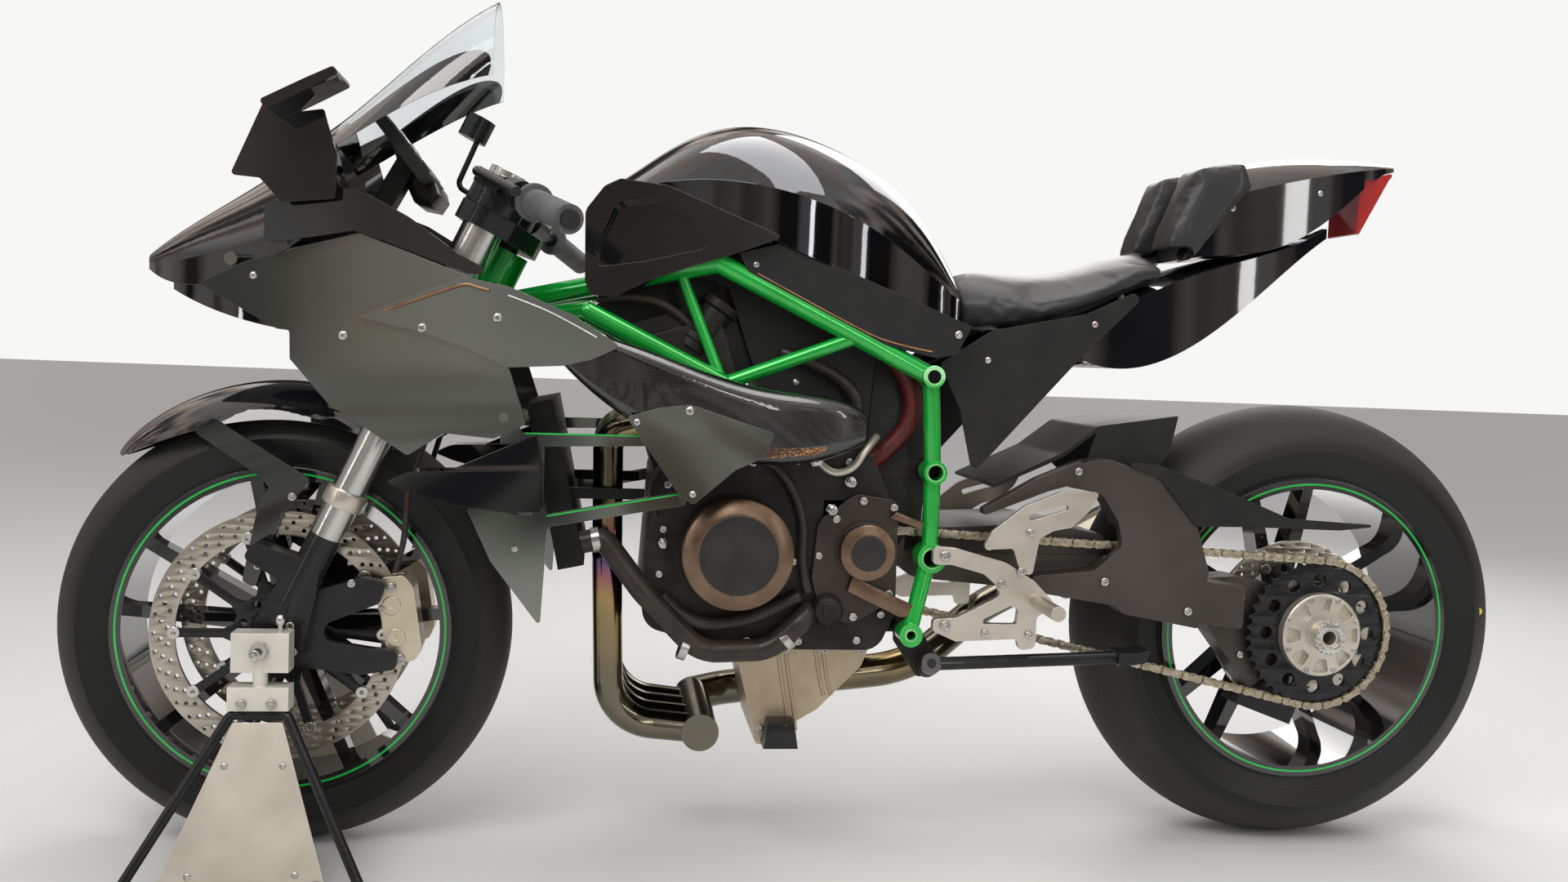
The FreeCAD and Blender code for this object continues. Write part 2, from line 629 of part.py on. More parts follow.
def axle_stands():
    foot = size["stand_foot_half"]
    top_half = size["stand_top_half"]
    bar = size["stand_bar"]
    half = size["stand_length"] / 2
    top = size["stand_top"]
    frame = tube("StandLoop", bar,
                 [(front_x, -foot, bar, 0), (front_x + half, -foot, bar, 14),
                  (front_x + 34, -top_half, top, 10), (front_x - 34, -top_half, top, 10),
                  (front_x - half, -foot, bar, 14)], True)
    node("stand_frames", pair("StandFrames", frame))
    # plate hung in the plane of the loop, on the loop's foot bar
    way = FreeCAD.Vector(0, foot - top_half, top - bar)
    rise = way.Length
    plate = body("StandPlate")
    low_half = half - 46
    low = bar + gap
    plate_edges = edges_of([(-low_half, low, 3), (low_half, low, 3), (30, rise - 10, 3),
                            (-30, rise - 10, 3)])
    pad = plate.newObject("PartDesign::Pad", "StandPlatePad")
    bind(pad, "Length", "stand_plate_wall")
    pad.Profile = sketch(plate, "XZ_Plane", plate_edges)
    lean = FreeCAD.Rotation(FreeCAD.Vector(1, 0, 0), -math.degrees(math.atan2(way.y, way.z)))
    plate.Placement = FreeCAD.Placement(FreeCAD.Vector(front_x, -foot, bar), lean)
    node("stand_plates", pair("StandPlates", plate))
    # axle clamp block, stem and foot block on top of the loop
    width = size["stand_clamp_width"]
    upper = box("ClampUpper", "stand_clamp_width", "30", "50",
                (front_x - width / 2, -size["front_axle_half"] - 12, front_z - 28))
    seat = cylinder("ClampSeat", "front_axle_radius + fit_gap / 2", "40",
                    (front_x, -size["front_axle_half"] - gap, front_z), ALONG_Y)
    stem = cylinder("ClampStem", "9", "60", (front_x, -size["front_axle_half"] - 6, top + 20))
    lower = box("ClampLower", "stand_clamp_width + 4", "30", "30",
                (front_x - width / 2 - 2, -top_half - 9, top + bar + gap))
    left = cut("StandClampLeft", fused("StandClampRaw", [upper, stem, lower]), seat)
    node("stand_clamps", pair("StandClamps", left))


# Frame and engine

def frame_places():
    # where the left side's tubes meet
    half = size["frame_half_width"]
    return {
        "head_top": (steer_x + 835 * math.sin(rake) + 26, -18, 835 * math.cos(rake) - 4),
        "head_low": (steer_x + 800 * math.sin(rake) + 24, -18, 800 * math.cos(rake) - 4),
        "shoulder": (mid(-176), -half, 813),
        "strut_top": (mid(-226), -half + 22, 804),
        "strut_foot": (mid(-165), -half, 655),
        "belly": (mid(-343), -half + 6, 742),
        "seat_boss": (mid(115), -half, 675),
        "knee": (mid(13), -half, 724),
        "linkage": (mid(LINKAGE[0]), -half + 8, LINKAGE[1]),
        "pivot": (pivot_x, -half + 10, size["pivot_height"]),
        "hanger": (mid(HANGER[0]), -half - 4, HANGER[1]),
    }


def frame():
    half = size["frame_half_width"]
    places = frame_places()
    # start, end, share of the main tube's radius
    runs = (("head_top", "shoulder", 1.0), ("shoulder", "knee", 1.0), ("knee", "seat_boss", 1.0),
            ("head_low", "belly", 1.0), ("belly", "strut_foot", 1.0), ("strut_foot", "knee", 0.7),
            ("strut_foot", "strut_top", 0.55), ("seat_boss", "linkage", 0.85),
            ("linkage", "pivot", 0.85), ("pivot", "hanger", 0.85))
    pieces = [rod("FrameTube", "frame_tube * %s" % share, places[start], places[end]) for start, end,
              share in runs]
    pieces += [ball("FrameKnot", "frame_tube", places[name])
               for name in ("shoulder", "knee", "belly", "strut_foot")]
    bores = []
    for name, radius, length, bore in (("seat_boss", 15, 36, 9), ("linkage", 16, 36, 10),
                                       ("pivot", 20, 36, 12), ("hanger", 16, 30, 6)):
        x, y, z = places[name]
        pieces.append(cylinder("FrameBoss", str(radius), str(length), (x, y - length / 2, z), ALONG_Y))
        bores.append(cylinder("FrameBossBore", str(bore), "24", (x, y - length / 2 - 1, z), ALONG_Y))
    x, y, z = places["strut_foot"]
    pieces.append(cylinder("FrameLug", "12", str(half - size["barrel_half_width"] - gap), (x, y, z),
                           ALONG_Y))
    left = cut("FrameLeft", fused("FrameLeftRaw", pieces), group("FrameBores", bores))
    head = cylinder("HeadTube", "head_radius", "upper_clamp - lower_clamp - lower_clamp_depth - 12",
                    (0, 0, 0))
    head.Placement = steering.multiply(turned((0, 0,
                                               size["lower_clamp"] + size["lower_clamp_depth"] + 6),
                                              UPRIGHT))
    bore = cylinder("HeadBore", "stem_radius + 1", "400", (0, 0, 0))
    bore.Placement = steering.multiply(turned((0, 0, size["lower_clamp"] - 50), UPRIGHT))
    x, y, z = places["seat_boss"]
    cross = cylinder("SeatCross", "seat_cross_radius", str(2 * half), (x, -half, z), ALONG_Y)
    whole = fused("FrameRaw", [left, mirrored(left), head, cross])
    node("frame", cut("Frame", whole, bore))


def engine():
    half = size["crank_half_width"]
    crank_z = size["crank_height"]
    case = slab("CrankCase",
                [(mid(-262), 330, 30), (mid(-150), 300, 10), (mid(60), 300, 30), (mid(86), 360, 20),
                 (mid(86), 470, 30), (mid(40), 570, 20), (mid(-90), 570, 10), (mid(-250), 540, 20)],
                half, "2 * crank_half_width")
    lean = FreeCAD.Rotation(FreeCAD.Vector(0, 1, 0), -size["barrel_lean"])
    barrel = box("Cylinders", "140", "2 * barrel_half_width", "190",
                 (mid(-245), -size["barrel_half_width"], 520), lean)
    cover_half = size["barrel_half_width"] - 14
    top_place = turned((mid(-245), 0, 520), lean).multVec(FreeCAD.Vector(12, -cover_half, 186))
    head_cover = box("HeadCover", "116", str(2 * cover_half), "26", tuple(top_place), lean)
    sprocket_x = mid(size["sprocket_reach"])
    chain_inside = size["chain_plane"] - size["chain_half_width"] - 3
    way = box("SprocketPocket", "110", "60", "150",
              (sprocket_x - 62, -chain_inside - 60, size["sprocket_height"] - 64))
    shaft = cylinder("GearShaft", "18", str(size["chain_plane"] - chain_inside),
                     (sprocket_x, -size["chain_plane"], size["sprocket_height"]), ALONG_Y)
    tip = "sprocket_pitch_radius - roller_radius - 1"
    wheel = cylinder("GearSprocket", tip, "sprocket_thickness",
                     (sprocket_x, -size["chain_plane"] - size["sprocket_thickness"] / 2,
                      size["sprocket_height"]), ALONG_Y)
    lugs = []
    # where the frame bolts on: (x, z), half length of the lug, its radius, the web's x start and z range
    for (x, z), reach, radius, web_start, web_low, web_high in (
            (LINKAGE, size["frame_half_width"] - 8 - 18 - gap, 16, 20, 534, 558),
            (HANGER, size["frame_half_width"] + 4 - 15 - gap, 14, 30, 318, 336)):
        lugs.append(cylinder("EngineLug", str(radius), str(2 * reach), (mid(x), -reach, z), ALONG_Y))
        lugs.append(box("EngineWeb", str(x - web_start), "200", str(web_high - web_low),
                        (mid(web_start), -100, web_low)))
    # side stand bracket below the left lug
    outboard, inboard = stand_axis_point(-10), stand_axis_point(26)
    lug = rod("StandLug", "15", stand_axis_point(10), inboard)
    plate = slab("StandBracket",
                 [(mid(84), 338, 6), (mid(114), 338, 6), (mid(146), 290, 8), (mid(142), 264, 8),
                  (mid(118), 262, 8), (mid(84), 312, 8)], 131, "7.5")
    pin = rod("StandPin", "6", outboard, inboard)
    wheel_side = fused("EngineBlock",
                       [cut("CrankCasePocket", fused("EngineRaw", [case, barrel, head_cover]), way),
                        shaft, wheel, lug, plate, pin] + lugs)
    node("engine_block", wheel_side)
    wide = size["cover_radius"]
    face = -half - size["cover_depth"]
    generator = turning("GeneratorCover",
                        [(0, -half - gap, 0), (wide, -half - gap, 0), (wide, face + 12, 4),
                         (wide - 7, face + 5, 3), (wide - 20, face + 5, 1), (wide - 22, face, 2),
                         (0, face, 0)])
    generator.Placement = turned((mid(-141), 0, crank_z - 4), UPRIGHT)
    plate = slab("SprocketCoverPlate",
                 [(mid(-36), 398, 10), (mid(-30), 476, 24), (mid(20), 514, 20), (mid(78), 506, 12),
                  (mid(80), 372, 12), (mid(20), 338, 20), (mid(-20), 348, 16)], half + gap + 10, "10")
    knob = turning("SprocketCoverKnob",
                   [(0, -half - 5, 0), (38, -half - 5, 0), (38, -half - 22, 3), (30, -half - 26, 2),
                    (0, -half - 26, 0)])
    knob.Placement = turned((mid(36), 0, 437), UPRIGHT)
    wide = size["clutch_radius"]
    face = half + size["clutch_depth"]
    clutch = turning("ClutchCover", [(0, half + gap, 0), (wide, half + gap, 0), (wide, face - 16, 8),
                                     (wide - 16, face - 6, 4), (wide - 38, face - 6, 1),
                                     (wide - 42, face, 2), (0, face, 0)])
    clutch.Placement = turned((mid(-10), 0, crank_z), UPRIGHT)
    cap = turning("CrankCap",
                  [(0, half + gap, 0), (50, half + gap, 0), (50, half + 20, 6), (36, half + 26, 2),
                   (0, half + 26, 0)])
    cap.Placement = turned((mid(-160), 0, crank_z - 6), UPRIGHT)
    node("engine_covers", group("EngineCovers", [generator, fused("SprocketCover", [plate, knob]),
                                                 fused("ClutchSide", [clutch, cap])]))
    pan = slab("OilPan",
               [(mid(-128), 300, 4), (mid(60), 300, 4), (mid(48), 268, 12), (mid(-12), 206, 12),
                (mid(-46), 186, 8), (mid(-52), 160, 6), (mid(-97), 156, 6), (mid(-104), 192, 12),
                (mid(-124), 268, 8)],
               size["pan_half_width"], "2 * pan_half_width")
    pan.Placement = turned((0, 0, -gap), UPRIGHT)
    node("oil_pan", pan)
    chamber = slab("IntakeChamber",
                   [(mid(-86), 570, 6), (mid(34), 570, 6), (mid(84), 610, 20), (mid(94), 670, 20),
                    (mid(90), 755, 14), (mid(-60), 812, 20), (mid(-235), 880, 20), (mid(-235), 800, 10),
                    (mid(-158), 790, 20), (mid(-124), 690, 20), (mid(-100), 640, 20)],
                   size["chamber_half_width"], "2 * chamber_half_width")
    chamber.Placement = turned((0, 0, gap), UPRIGHT)
    node("intake_chamber", chamber)


def exhaust():
    spread = size["header_spread"]
    radius = size["header_radius"]
    pipes = []
    lean = math.radians(size["barrel_lean"])
    port_x = mid(-245) - size["port_rise"] * math.sin(lean) - gap * math.cos(lean)
    port_z = 520 + size["port_rise"] * math.cos(lean) - gap * math.sin(lean)
    knee_x = port_x - 44 * math.cos(lean)
    knee_z = port_z - 44 * math.sin(lean)
    low = 172
    for side in (-1.5, -0.5, 0.5, 1.5):
        y = side * spread
        low_y = side * 46
        pipes.append(tube("Header", radius, [
            (port_x, y, port_z, 0), (knee_x, y, knee_z, 28), (mid(-308), y, 400, 120),
            (mid(-300), low_y * 1.1, low + 14, 70), (mid(-176), low_y, low, 0)]))
    collector = rod("Collector", "collector_radius", (mid(-174), -92, low), (mid(-174), 104, low + 4))
    outlet = tube("CollectorOutlet", size["collector_radius"], [
        (mid(-174), 104, low + 4, 0), (mid(-130), 126, low + 8, 50), (mid(30), 126, 200, 200),
        (mid(170), 130, 214, 200), (mid(300), 188, 300, 120), (mid(420), 200, 362, 0)])
    node("exhaust_headers", fused("ExhaustHeaders", pipes + [collector, outlet]))
    tail_end = FreeCAD.Vector(mid(420), 200, 362)
    heading = (tail_end - FreeCAD.Vector(mid(300), 188, 300)).normalize()
    can = rod("SilencerCan", "silencer_radius", tail_end + heading * gap, tail_end + heading * 300)
    mouth = rod("SilencerMouth", "34", tail_end + heading * 240, tail_end + heading * 330)
    node("silencer", fused("Silencer", [can, mouth]))


def radiator_corner(grow=0.0):
    # the core's low front corner on the left
    return mid(-372) - grow, -size["radiator_width"] / 2 - grow, 405 - grow


def cooling():
    lean = FreeCAD.Rotation(FreeCAD.Vector(0, 1, 0), -size["radiator_lean"])
    core = box("RadiatorCore", "radiator_depth", "radiator_width", "radiator_rise", radiator_corner(), lean)
    stays = [box("RadiatorStay", "100", "9", "14", (mid(-262) - gap - 100, y, 498))
             for y in (-137, 128)]
    node("radiator", fused("Radiator", [core] + stays))
    half_gap = size["crank_half_width"] + gap
    hose = tube("CoolantHoseRun", size["hose_radius"],
                [(mid(-343.8), -133, 439.5, 0), (mid(-314.5), -133, 445.7, 18),
                 (mid(-262), -157, 380, 60), (mid(-184), -157, 300, 60), (mid(-90), -157, 304, 60),
                 (mid(-40), -160, 352, 20), (mid(-40), -half_gap, 352, 0)])
    node("coolant_hose", hose)


# Bodywork

def nose(name, grow=0.0):
    # sections of the nose: x, half width, bottom, shoulder, top
    upper = [(front(x), dome(half + grow, low - grow, shoulder, top + grow)) for x, half, low, shoulder,
             top in ((-188 - grow, 8, 778, 786, 798), (-130, 58, 758, 790, 842),
                     (-60, 104, 768, 806, 888), (40 + grow, 168, 815, 830, 968))]
    chin = [(front(x), dome(half + grow, low - grow, shoulder, top + grow)) for x, half, low, shoulder,
            top in ((-150, 30, 752, 770, 790), (-60, 84, 718, 760, 800),
                    (40 + grow, 100, 700, 780, 840))]
    return fused(name, [loft(name + "Upper", upper), loft(name + "Chin", chin)])


def bodywork():
    wall = "panel_wall"
    band = leaf("CowlBand",
                [(-110, -20, 6), (-110, 30, 10), (-18, 52, 14), (16, 46, 20), (66, 20, 30),
                 (130, -24, 30), (184, -50, 6), (140, -47, 6), (40, -12, 20), (0, 0, 10),
                 (-40, -8, 20)], "6", (mid(-632), -176, 829), -6)
    node("nose_cowl", fused("NoseCowl", [nose("Nose"), band, mirrored(band)]))
    stations = []
    # x, half width, height of the lower edge, height of the crown
    for x, half, low, top in ((40 + gap, 118, 921, 968), (112, 120, 968, 1032), (206, 112, 1024, 1120),
                              (262, 96, 1046, 1160)):
        outer = Part.Arc(FreeCAD.Vector(-half, low, 0), FreeCAD.Vector(0, top, 0),
                         FreeCAD.Vector(half, low, 0))
        inner = Part.Arc(FreeCAD.Vector(half - 3, low, 0), FreeCAD.Vector(0, top - 3.5, 0),
                         FreeCAD.Vector(-half + 3, low, 0))
        right_edge = Part.LineSegment(FreeCAD.Vector(half, low, 0), FreeCAD.Vector(half - 3, low, 0))
        left_edge = Part.LineSegment(FreeCAD.Vector(-half + 3, low, 0), FreeCAD.Vector(-half, low, 0))
        stations.append((front(x), [outer, right_edge, inner, left_edge]))
    node("windscreen", loft("Windscreen", stations))
    # instruments on the stay that runs forward from the head tube between the fork clamps
    lean = FreeCAD.Rotation(FreeCAD.Vector(0, 1, 0), -38)
    dial = box("Instrument", "16", "160", "100", (front(170), -80, 905), lean)
    face = size["head_radius"] + gap
    low_up, high_up = 815, 885
    rear_edge = [(steer_x - face * math.cos(rake) + up * math.sin(rake),
                  face * math.sin(rake) + up * math.cos(rake), 0) for up in (low_up, high_up)]
    stay = slab("NoseStay",
                [rear_edge[0], rear_edge[1], (mid(-560), 850, 10), (mid(-618), 870, 6),
                 (front(40) + gap, 870, 0), (front(40) + gap, 800, 0), (mid(-640), 790, 10),
                 (mid(-575), 745, 10)], 35, "70")
    stalk = slab("InstrumentStalk",
                 [(mid(-650), 862, 0), (mid(-618), 862, 0), (mid(-582), 930, 0), (mid(-600), 952, 0)],
                 20, "40")
    node("instrument_panel", fused("InstrumentPanel", [dial, stay, stalk]))
    blade = slab("WingBlade",
                 [(front(13), 967, 4), (front(64), 995, 4), (front(95), 1011, 4), (front(101), 1002, 4),
                  (front(70), 984, 4), (front(20), 956, 4)], size["wing_half_width"],
                 "80")
    pylon = slab("WingPylon",
                 [(front(-38), 888, 4), (front(0), 978, 3), (front(20), 964, 3), (front(70), 973, 3),
                  (front(86), 919, 4), (front(85), 866, 4), (front(22), 858, 6), (front(-4), 886, 6)],
                 190, wall)
    foot = box("WingFoot", "60", "100", "10", (front(22), -189, 887))
    upper_wing = cut("UpperWingLeft", fused("UpperWingRaw", [blade, pylon, foot]),
                     nose("NoseSeat", gap))
    foil = slab("WingletFoil",
                [(mid(-576), 526, 3), (mid(-548), 539, 20), (mid(-491), 541, 30), (mid(-393), 545, 3),
                 (mid(-391), 494, 3), (mid(-432), 492, 10), (mid(-490), 499, 30), (mid(-548), 515, 20)],
                size["foil_half_width"],
                "foil_half_width - shroud_half - fit_gap")
    vane = slab("WingletVane", [(mid(-510), 536, 2), (mid(-400), 586, 3), (mid(-392), 536, 3)],
                size["shroud_half"] + 17, wall)
    node("winglets",
         group("Winglets",
               [upper_wing, mirrored(upper_wing),
                pair("LowerWinglets", fused("LowerWingletLeft", [foil, vane]))]))
    # two overlapping side panels
    origin = (mid(-800), -128, 760)
    large = leaf("SidePanel",
                 [(-32, -2, 4), (30, 27, 30), (84, 44, 40), (138, 57, 40), (178, 67, 14), (321, 17, 10),
                  (374, -98, 20), (396, -162, 4), (355, -182, 10), (292, -178, 10), (245, -208, 6),
                  (142, -148, 10), (90, -93, 6), (89, -57, 4), (73, -56, 10)], wall, origin, -13)
    small = leaf("SideStrip",
                 [(-8, -3, 2), (125, 51, 10), (184, 41, 20), (265, 9, 30), (326, -28, 4),
                  (291, -45, 10), (255, -54, 20), (184, -59, 20), (123, -33, 20), (62, -16, 30)], wall,
                 (mid(-620), -178, 726), -12)
    screws = [cylinder("PanelScrew", "6", "16", (mid(x), y, z), ALONG_Y) for x, y,
              z in ((-545, -194, 712), (-452, -214, 728))]
    nose_boss = cylinder("PanelNoseBoss", "8", "44", (mid(-790), -129, 790), ALONG_Y)
    shroud_boss = cylinder("PanelShroudBoss", "6", str(213 - size["shroud_half"] - gap),
                           (mid(-442), -213, 604), ALONG_Y)
    side = cut("SideFairingLeft",
               fused("SideFairingRaw", [large, small, nose_boss, shroud_boss] + screws),
               nose("NoseSeatPanel", gap))
    node("side_fairings", pair("SideFairings", side))
    # shroud beside the radiator with its fin, and the kite panel ahead of the engine
    shroud = slab("ShroudBars",
                  [(mid(-446), 572, 2), (mid(-446), 614, 4), (mid(-428), 614, 4), (mid(-420), 586, 4),
                   (mid(-261), 588, 2), (mid(-261), 574, 2), (mid(-391), 570, 2), (mid(-391), 484, 2),
                   (mid(-212), 518, 2), (mid(-212), 500, 2), (mid(-385), 468, 4), (mid(-391), 341, 3),
                   (mid(-454), 423, 20), (mid(-486), 491, 3), (mid(-404), 481, 3), (mid(-404), 572, 2)],
                  size["shroud_half"], wall)
    kite = slab("KitePanel",
                [(mid(-291), 612, 4), (mid(-250), 625, 4), (mid(-213), 630, 8), (mid(-105), 597, 3),
                 (mid(-118), 566, 6), (mid(-153), 550, 4), (mid(-205), 504, 6), (mid(-226), 521, 6)],
                size["kite_half"], wall)
    kite_in = size["kite_half"] - size["panel_wall"]
    spacers = [cylinder("KiteSpacer", "4", str(kite_in - size["shroud_half"] + 4),
                        (mid(x), -kite_in - 1, z), ALONG_Y) for x, z in ((-266, 581), (-217, 511))]
    tie_length = str(size["shroud_half"] - size["radiator_width"] / 2 - gap)
    ties = [cylinder("RadiatorTie", "6", tie_length, (mid(-398), 2 - size["shroud_half"], z), ALONG_Y)
            for z in (572, 520)]
    ties = [cut("ShroudTies", group("ShroudTieRods", ties), radiator_room())]
    node("lower_panels", pair("LowerPanels", fused("LowerPanelLeft", [shroud, kite] + spacers + ties)))
    wide = size["duct_half_width"]
    duct_stations = []
    # x, outer face in from the widest, inner face, bottom, top, corner radius
    for x, narrow, inner, low, high, radius in (
            (-400, 21, 176, 706, 752, 8),
            (-310, 1, 176, 622, 708, 16),
            (-205, 0, 172, 570, 675, 22),
            (-120, 4, 168, 555, 653, 24),
            (-40, 15, 166, 561, 645, 24),
            (20, 39, 166, 584, 624, 12)):
        outer = wide - narrow
        section = edges_of([(-outer, low, radius), (-inner, low, 8), (-inner, high, 8),
                            (-outer, high, radius)])
        duct_stations.append((mid(x), section))
    stay = cylinder("DuctStay", "9", str(184 - size["barrel_half_width"] - gap),
                    (mid(-240), -184, 625), ALONG_Y)
    node("air_duct", fused("AirDuct", [loft("DuctShell", duct_stations), stay]))


def radiator_room():
    # the radiator core with the fit clearance all round
    lean = FreeCAD.Rotation(FreeCAD.Vector(0, 1, 0), -size["radiator_lean"])
    return box("RadiatorRoom", "radiator_depth + 2 * fit_gap", "radiator_width + 2 * fit_gap",
               "radiator_rise + 2 * fit_gap", radiator_corner(gap), lean)


def tank(name, grow=0.0):
    wide = size["tank_half_width"]
    top = size["tank_top"]
    # x, half width as a share, bottom, shoulder, drop of the crown
    stations = [(mid(x), dome(wide * share + grow, low - grow, shoulder, top - drop + grow)) for x,
                share, low, shoulder,
                drop in ((-345 - grow, 0.40, 872, 884, 100), (-250, 0.80, 872, 915, 45),
                         (-110, 1.0, 800, 912, 0), (10, 0.92, 770, 876, 32), (95, 0.66, 740, 832, 86),
                         (168 + grow, 0.50, 735, 782, 190))]
    whole = loft(name + "Shell", stations)
    floor_lean = FreeCAD.Rotation(FreeCAD.Vector(0, 1, 0), 21.3)
    floor = box(name + "Floor", "700", "400", "200", (mid(-390), -200, 955), floor_lean)
    floor.Placement = floor.Placement.multiply(turned((0, 0, -200 - grow), UPRIGHT))
    return cut(name, whole, floor)


def tail(name, grow=0.0):
    half = size["tail_half_width"]
    base = size["seat_height"]
    stations = []
    # x from the rear axle, half width as a share, then underside, shoulder and crown over the seat height
    for x, share, under, shoulder, crown in (
            (-262 - grow, 0.96, 13, 89, 125),
            (-130, 1.0, 43, 132, 177),
            (-22, 0.86, 82, 159, 194),
            (78, 0.58, 159, 179, 196),
            (130 + grow, 0.26, 182, 187, 194)):
        section = dome(half * share + grow, base + under - grow, base + shoulder, base + crown + grow)
        stations.append((rear(x), section))
    whole = loft(name + "Shell", stations)
    # slanted front face behind the hip pads
    face = box(name + "Face", "200", "240", "300", (mid(481) - grow, -120, base + 19),
               FreeCAD.Rotation(FreeCAD.Vector(0, 1, 0), size["tail_face_lean"]))
    face.Placement = face.Placement.multiply(turned((-200, 0, -80), UPRIGHT))
    lamp_room = box(name + "LampRoom", "120", "240", "90", (rear(66), -120, base + 75))
    return cut(name, whole, group(name + "Cuts", [face, lamp_room]))


def seat_form(name, grow=0.0):
    low = size["seat_height"]
    half = size["seat_half_width"]
    # x, half width as a share, and the heights of underside, shoulder and crown above the seat height
    return loft(name,
                [(mid(x), dome(half * share + grow, low + under - grow, low + shoulder,
                               low + crown + grow)) for x, share, under, shoulder,
                 crown in ((150 - grow, 0.5, -78, -50, -18), (190, 0.78, -78, -44, 0),
                           (263, 0.96, -72, -40, 0), (380, 1.0, -32, -8, 20),
                           (462 + grow, 0.92, 0, 18, 38))])


def tank_and_seat():
    node("fuel_tank", tank("FuelTank"))
    # scoops beside the tank's front, and the matt covers between tank and frame
    scoop = leaf("Scoop",
                 [(16, 872, 20), (40, 904, 14), (60, 914, 10), (120, 908, 10), (272, 848, 3),
                  (216, 826, 10), (156, 806, 20), (105, 787, 20), (54, 762, 14), (26, 764, 8),
                  (18, 780, 8)], "48", (mid(-366), -150, 0), -6)
    hollow = leaf("ScoopHollow",
                  [(56, 884, 14), (104, 890, 10), (150, 868, 8), (176, 838, 6), (166, 828, 6),
                   (94, 810, 20), (32, 800, 8), (30, 824, 8)], "30", (mid(-366), -151, 0), -6)
    left = cut("ScoopLeft", cut("ScoopOpen", scoop, hollow),
               group("ScoopTools", [tank("TankSeatScoop", gap)] + frame_run()))
    node("intake_scoops", pair("IntakeScoops", left))
    cover = slab("TankCover",
                 [(mid(-151), 826, 4), (mid(-92), 842, 4), (mid(165), 744, 4), (mid(146), 706, 4),
                  (mid(118), 700, 4), (mid(16), 722, 4), (mid(-134), 796, 4)], 162, "8")
    flange = slab("TankFlange",
                  [(mid(-100), 846, 0), (mid(160), 746, 0), (mid(156), 732, 0), (mid(-104), 832, 0)],
                  156, "36")
    cover_fit = cut("TankCoverFit", fused("TankCoverRaw", [cover, flange]),
                    group("TankCoverTools", [tank("TankSeatCover", gap)] + frame_run()))
    cover_rear = slab("SubframeCover",
                      [(mid(133), 693, 6), (mid(205), 741, 20), (mid(338), 769, 20), (mid(442), 819, 8),
                       (mid(330), 706, 10), (mid(186), 543, 8), (mid(164), 633, 20)], 124, "panel_wall")
    bosses = [cylinder("CoverBoss", "7", str(121 - size["rail_half"] - gap), (mid(x), -121, z), ALONG_Y)
              for x, z in ((180, 690), (320, 726))]
    rear_cover = fused("SubframeCoverLeft", [cover_rear] + bosses)
    node("side_covers",
         group("SideCovers", [cover_fit, mirrored(cover_fit), rear_cover, mirrored(rear_cover)]))
    tools = group("SeatTools", [tank("TankSeatPad", gap), tail("TailSeatPad", gap)])
    node("seat", cut("Seat", seat_form("SeatShape"), tools))
    base = size["seat_height"]
    pad = slab("HipPadShape",
               [(mid(456), base + 27, 8), (mid(466), base + 73, 14), (mid(502), base + 163, 12),
                (mid(574), base + 173, 3), (mid(590), base + 137, 0), (mid(500), base + 23, 0)],
               size["tail_half_width"] + 12, "68")
    pad_fit = cut("HipPadFit", pad, group("HipPadTools", [tail("TailHipSeat", gap), seat_room()]))
    node("hip_pads", pair("HipPads", pad_fit))
    node("tail_cowl", tail("Tail"))
    lamp_front = rear(66) + gap
    lamp = slab("TailLamp",
                [(lamp_front, base + 79, 2), (lamp_front, base + 163, 2), (rear(122), base + 179, 3),
                 (rear(112), base + 167, 3)], size["lamp_half_width"], "2 * lamp_half_width")
    node("tail_light", cut("TailLight", lamp, tail("TailLampSeat", gap)))
    rails = []
    rail_front = mid(115) + size["seat_cross_radius"] + gap
    for side in (-1, 1):
        outer = size["rail_half"] if side < 0 else size["rail_wall"] - size["rail_half"]
        rails.append(slab("SubframeRail",
                          [(rail_front, 662, 0), (rail_front, 690, 0), (mid(235), base - 81, 10),
                           (mid(275), base - 81, 10), (mid(385), base - 33, 10), (mid(425), base - 33, 10),
                           (mid(520), base + 13, 4), (mid(600), base + 13, 4), (mid(600), base + 3, 2),
                           (mid(350), base - 123, 20)], outer, "rail_wall"))
    tray = loft("TailTray", [
        (mid(345), dome(92, base - 117, base - 85, base - 73)),
        (mid(480), dome(92, base - 107, base - 1, base + 13)),
        (rear(-112), dome(80, base - 23, base + 39, base + 49)),
        (rear(12), dome(52, base + 75, base + 89, base + 93))])
    rail_middle = size["rail_half"] - size["rail_wall"] / 2
    buffers = []
    for x, low, high in ((255, -93, -33), (405, -43, 3)):
        for side in (-1, 1):
            buffers.append(cylinder("SeatBuffer", "8", str(high - low),
                                    (mid(x), side * rail_middle, base + low)))
    frame_rear = fused("SubframeRaw", rails + [tray] + buffers)
    tools = group("SubframeTools", [tail("TailSubframeSeat", gap), seat_form("SeatFormSubframe", gap)])
    node("subframe", cut("Subframe", frame_rear, tools))


def frame_run():
    # the frame's top tubes with the fit clearance round them
    places = frame_places()
    line = [places[name] for name in ("head_top", "shoulder", "knee", "seat_boss")]
    strut = rod("FrameRunStrut", "0.55 * frame_tube + fit_gap", places["strut_foot"],
                places["strut_top"])
    runs = [rod("FrameRun", "frame_tube + fit_gap", start, end) for start, end in zip(line, line[1:])]
    joints = [ball("FrameRunJoint", "frame_tube + fit_gap", place) for place in line[1:]]
    return runs + joints + [strut]


def seat_room():
    # space kept for the rear of the seat under the hip pads
    return box("SeatRoom", "80", "240", "40", (mid(420), -120, size["seat_height"] + 3))


# Rear end

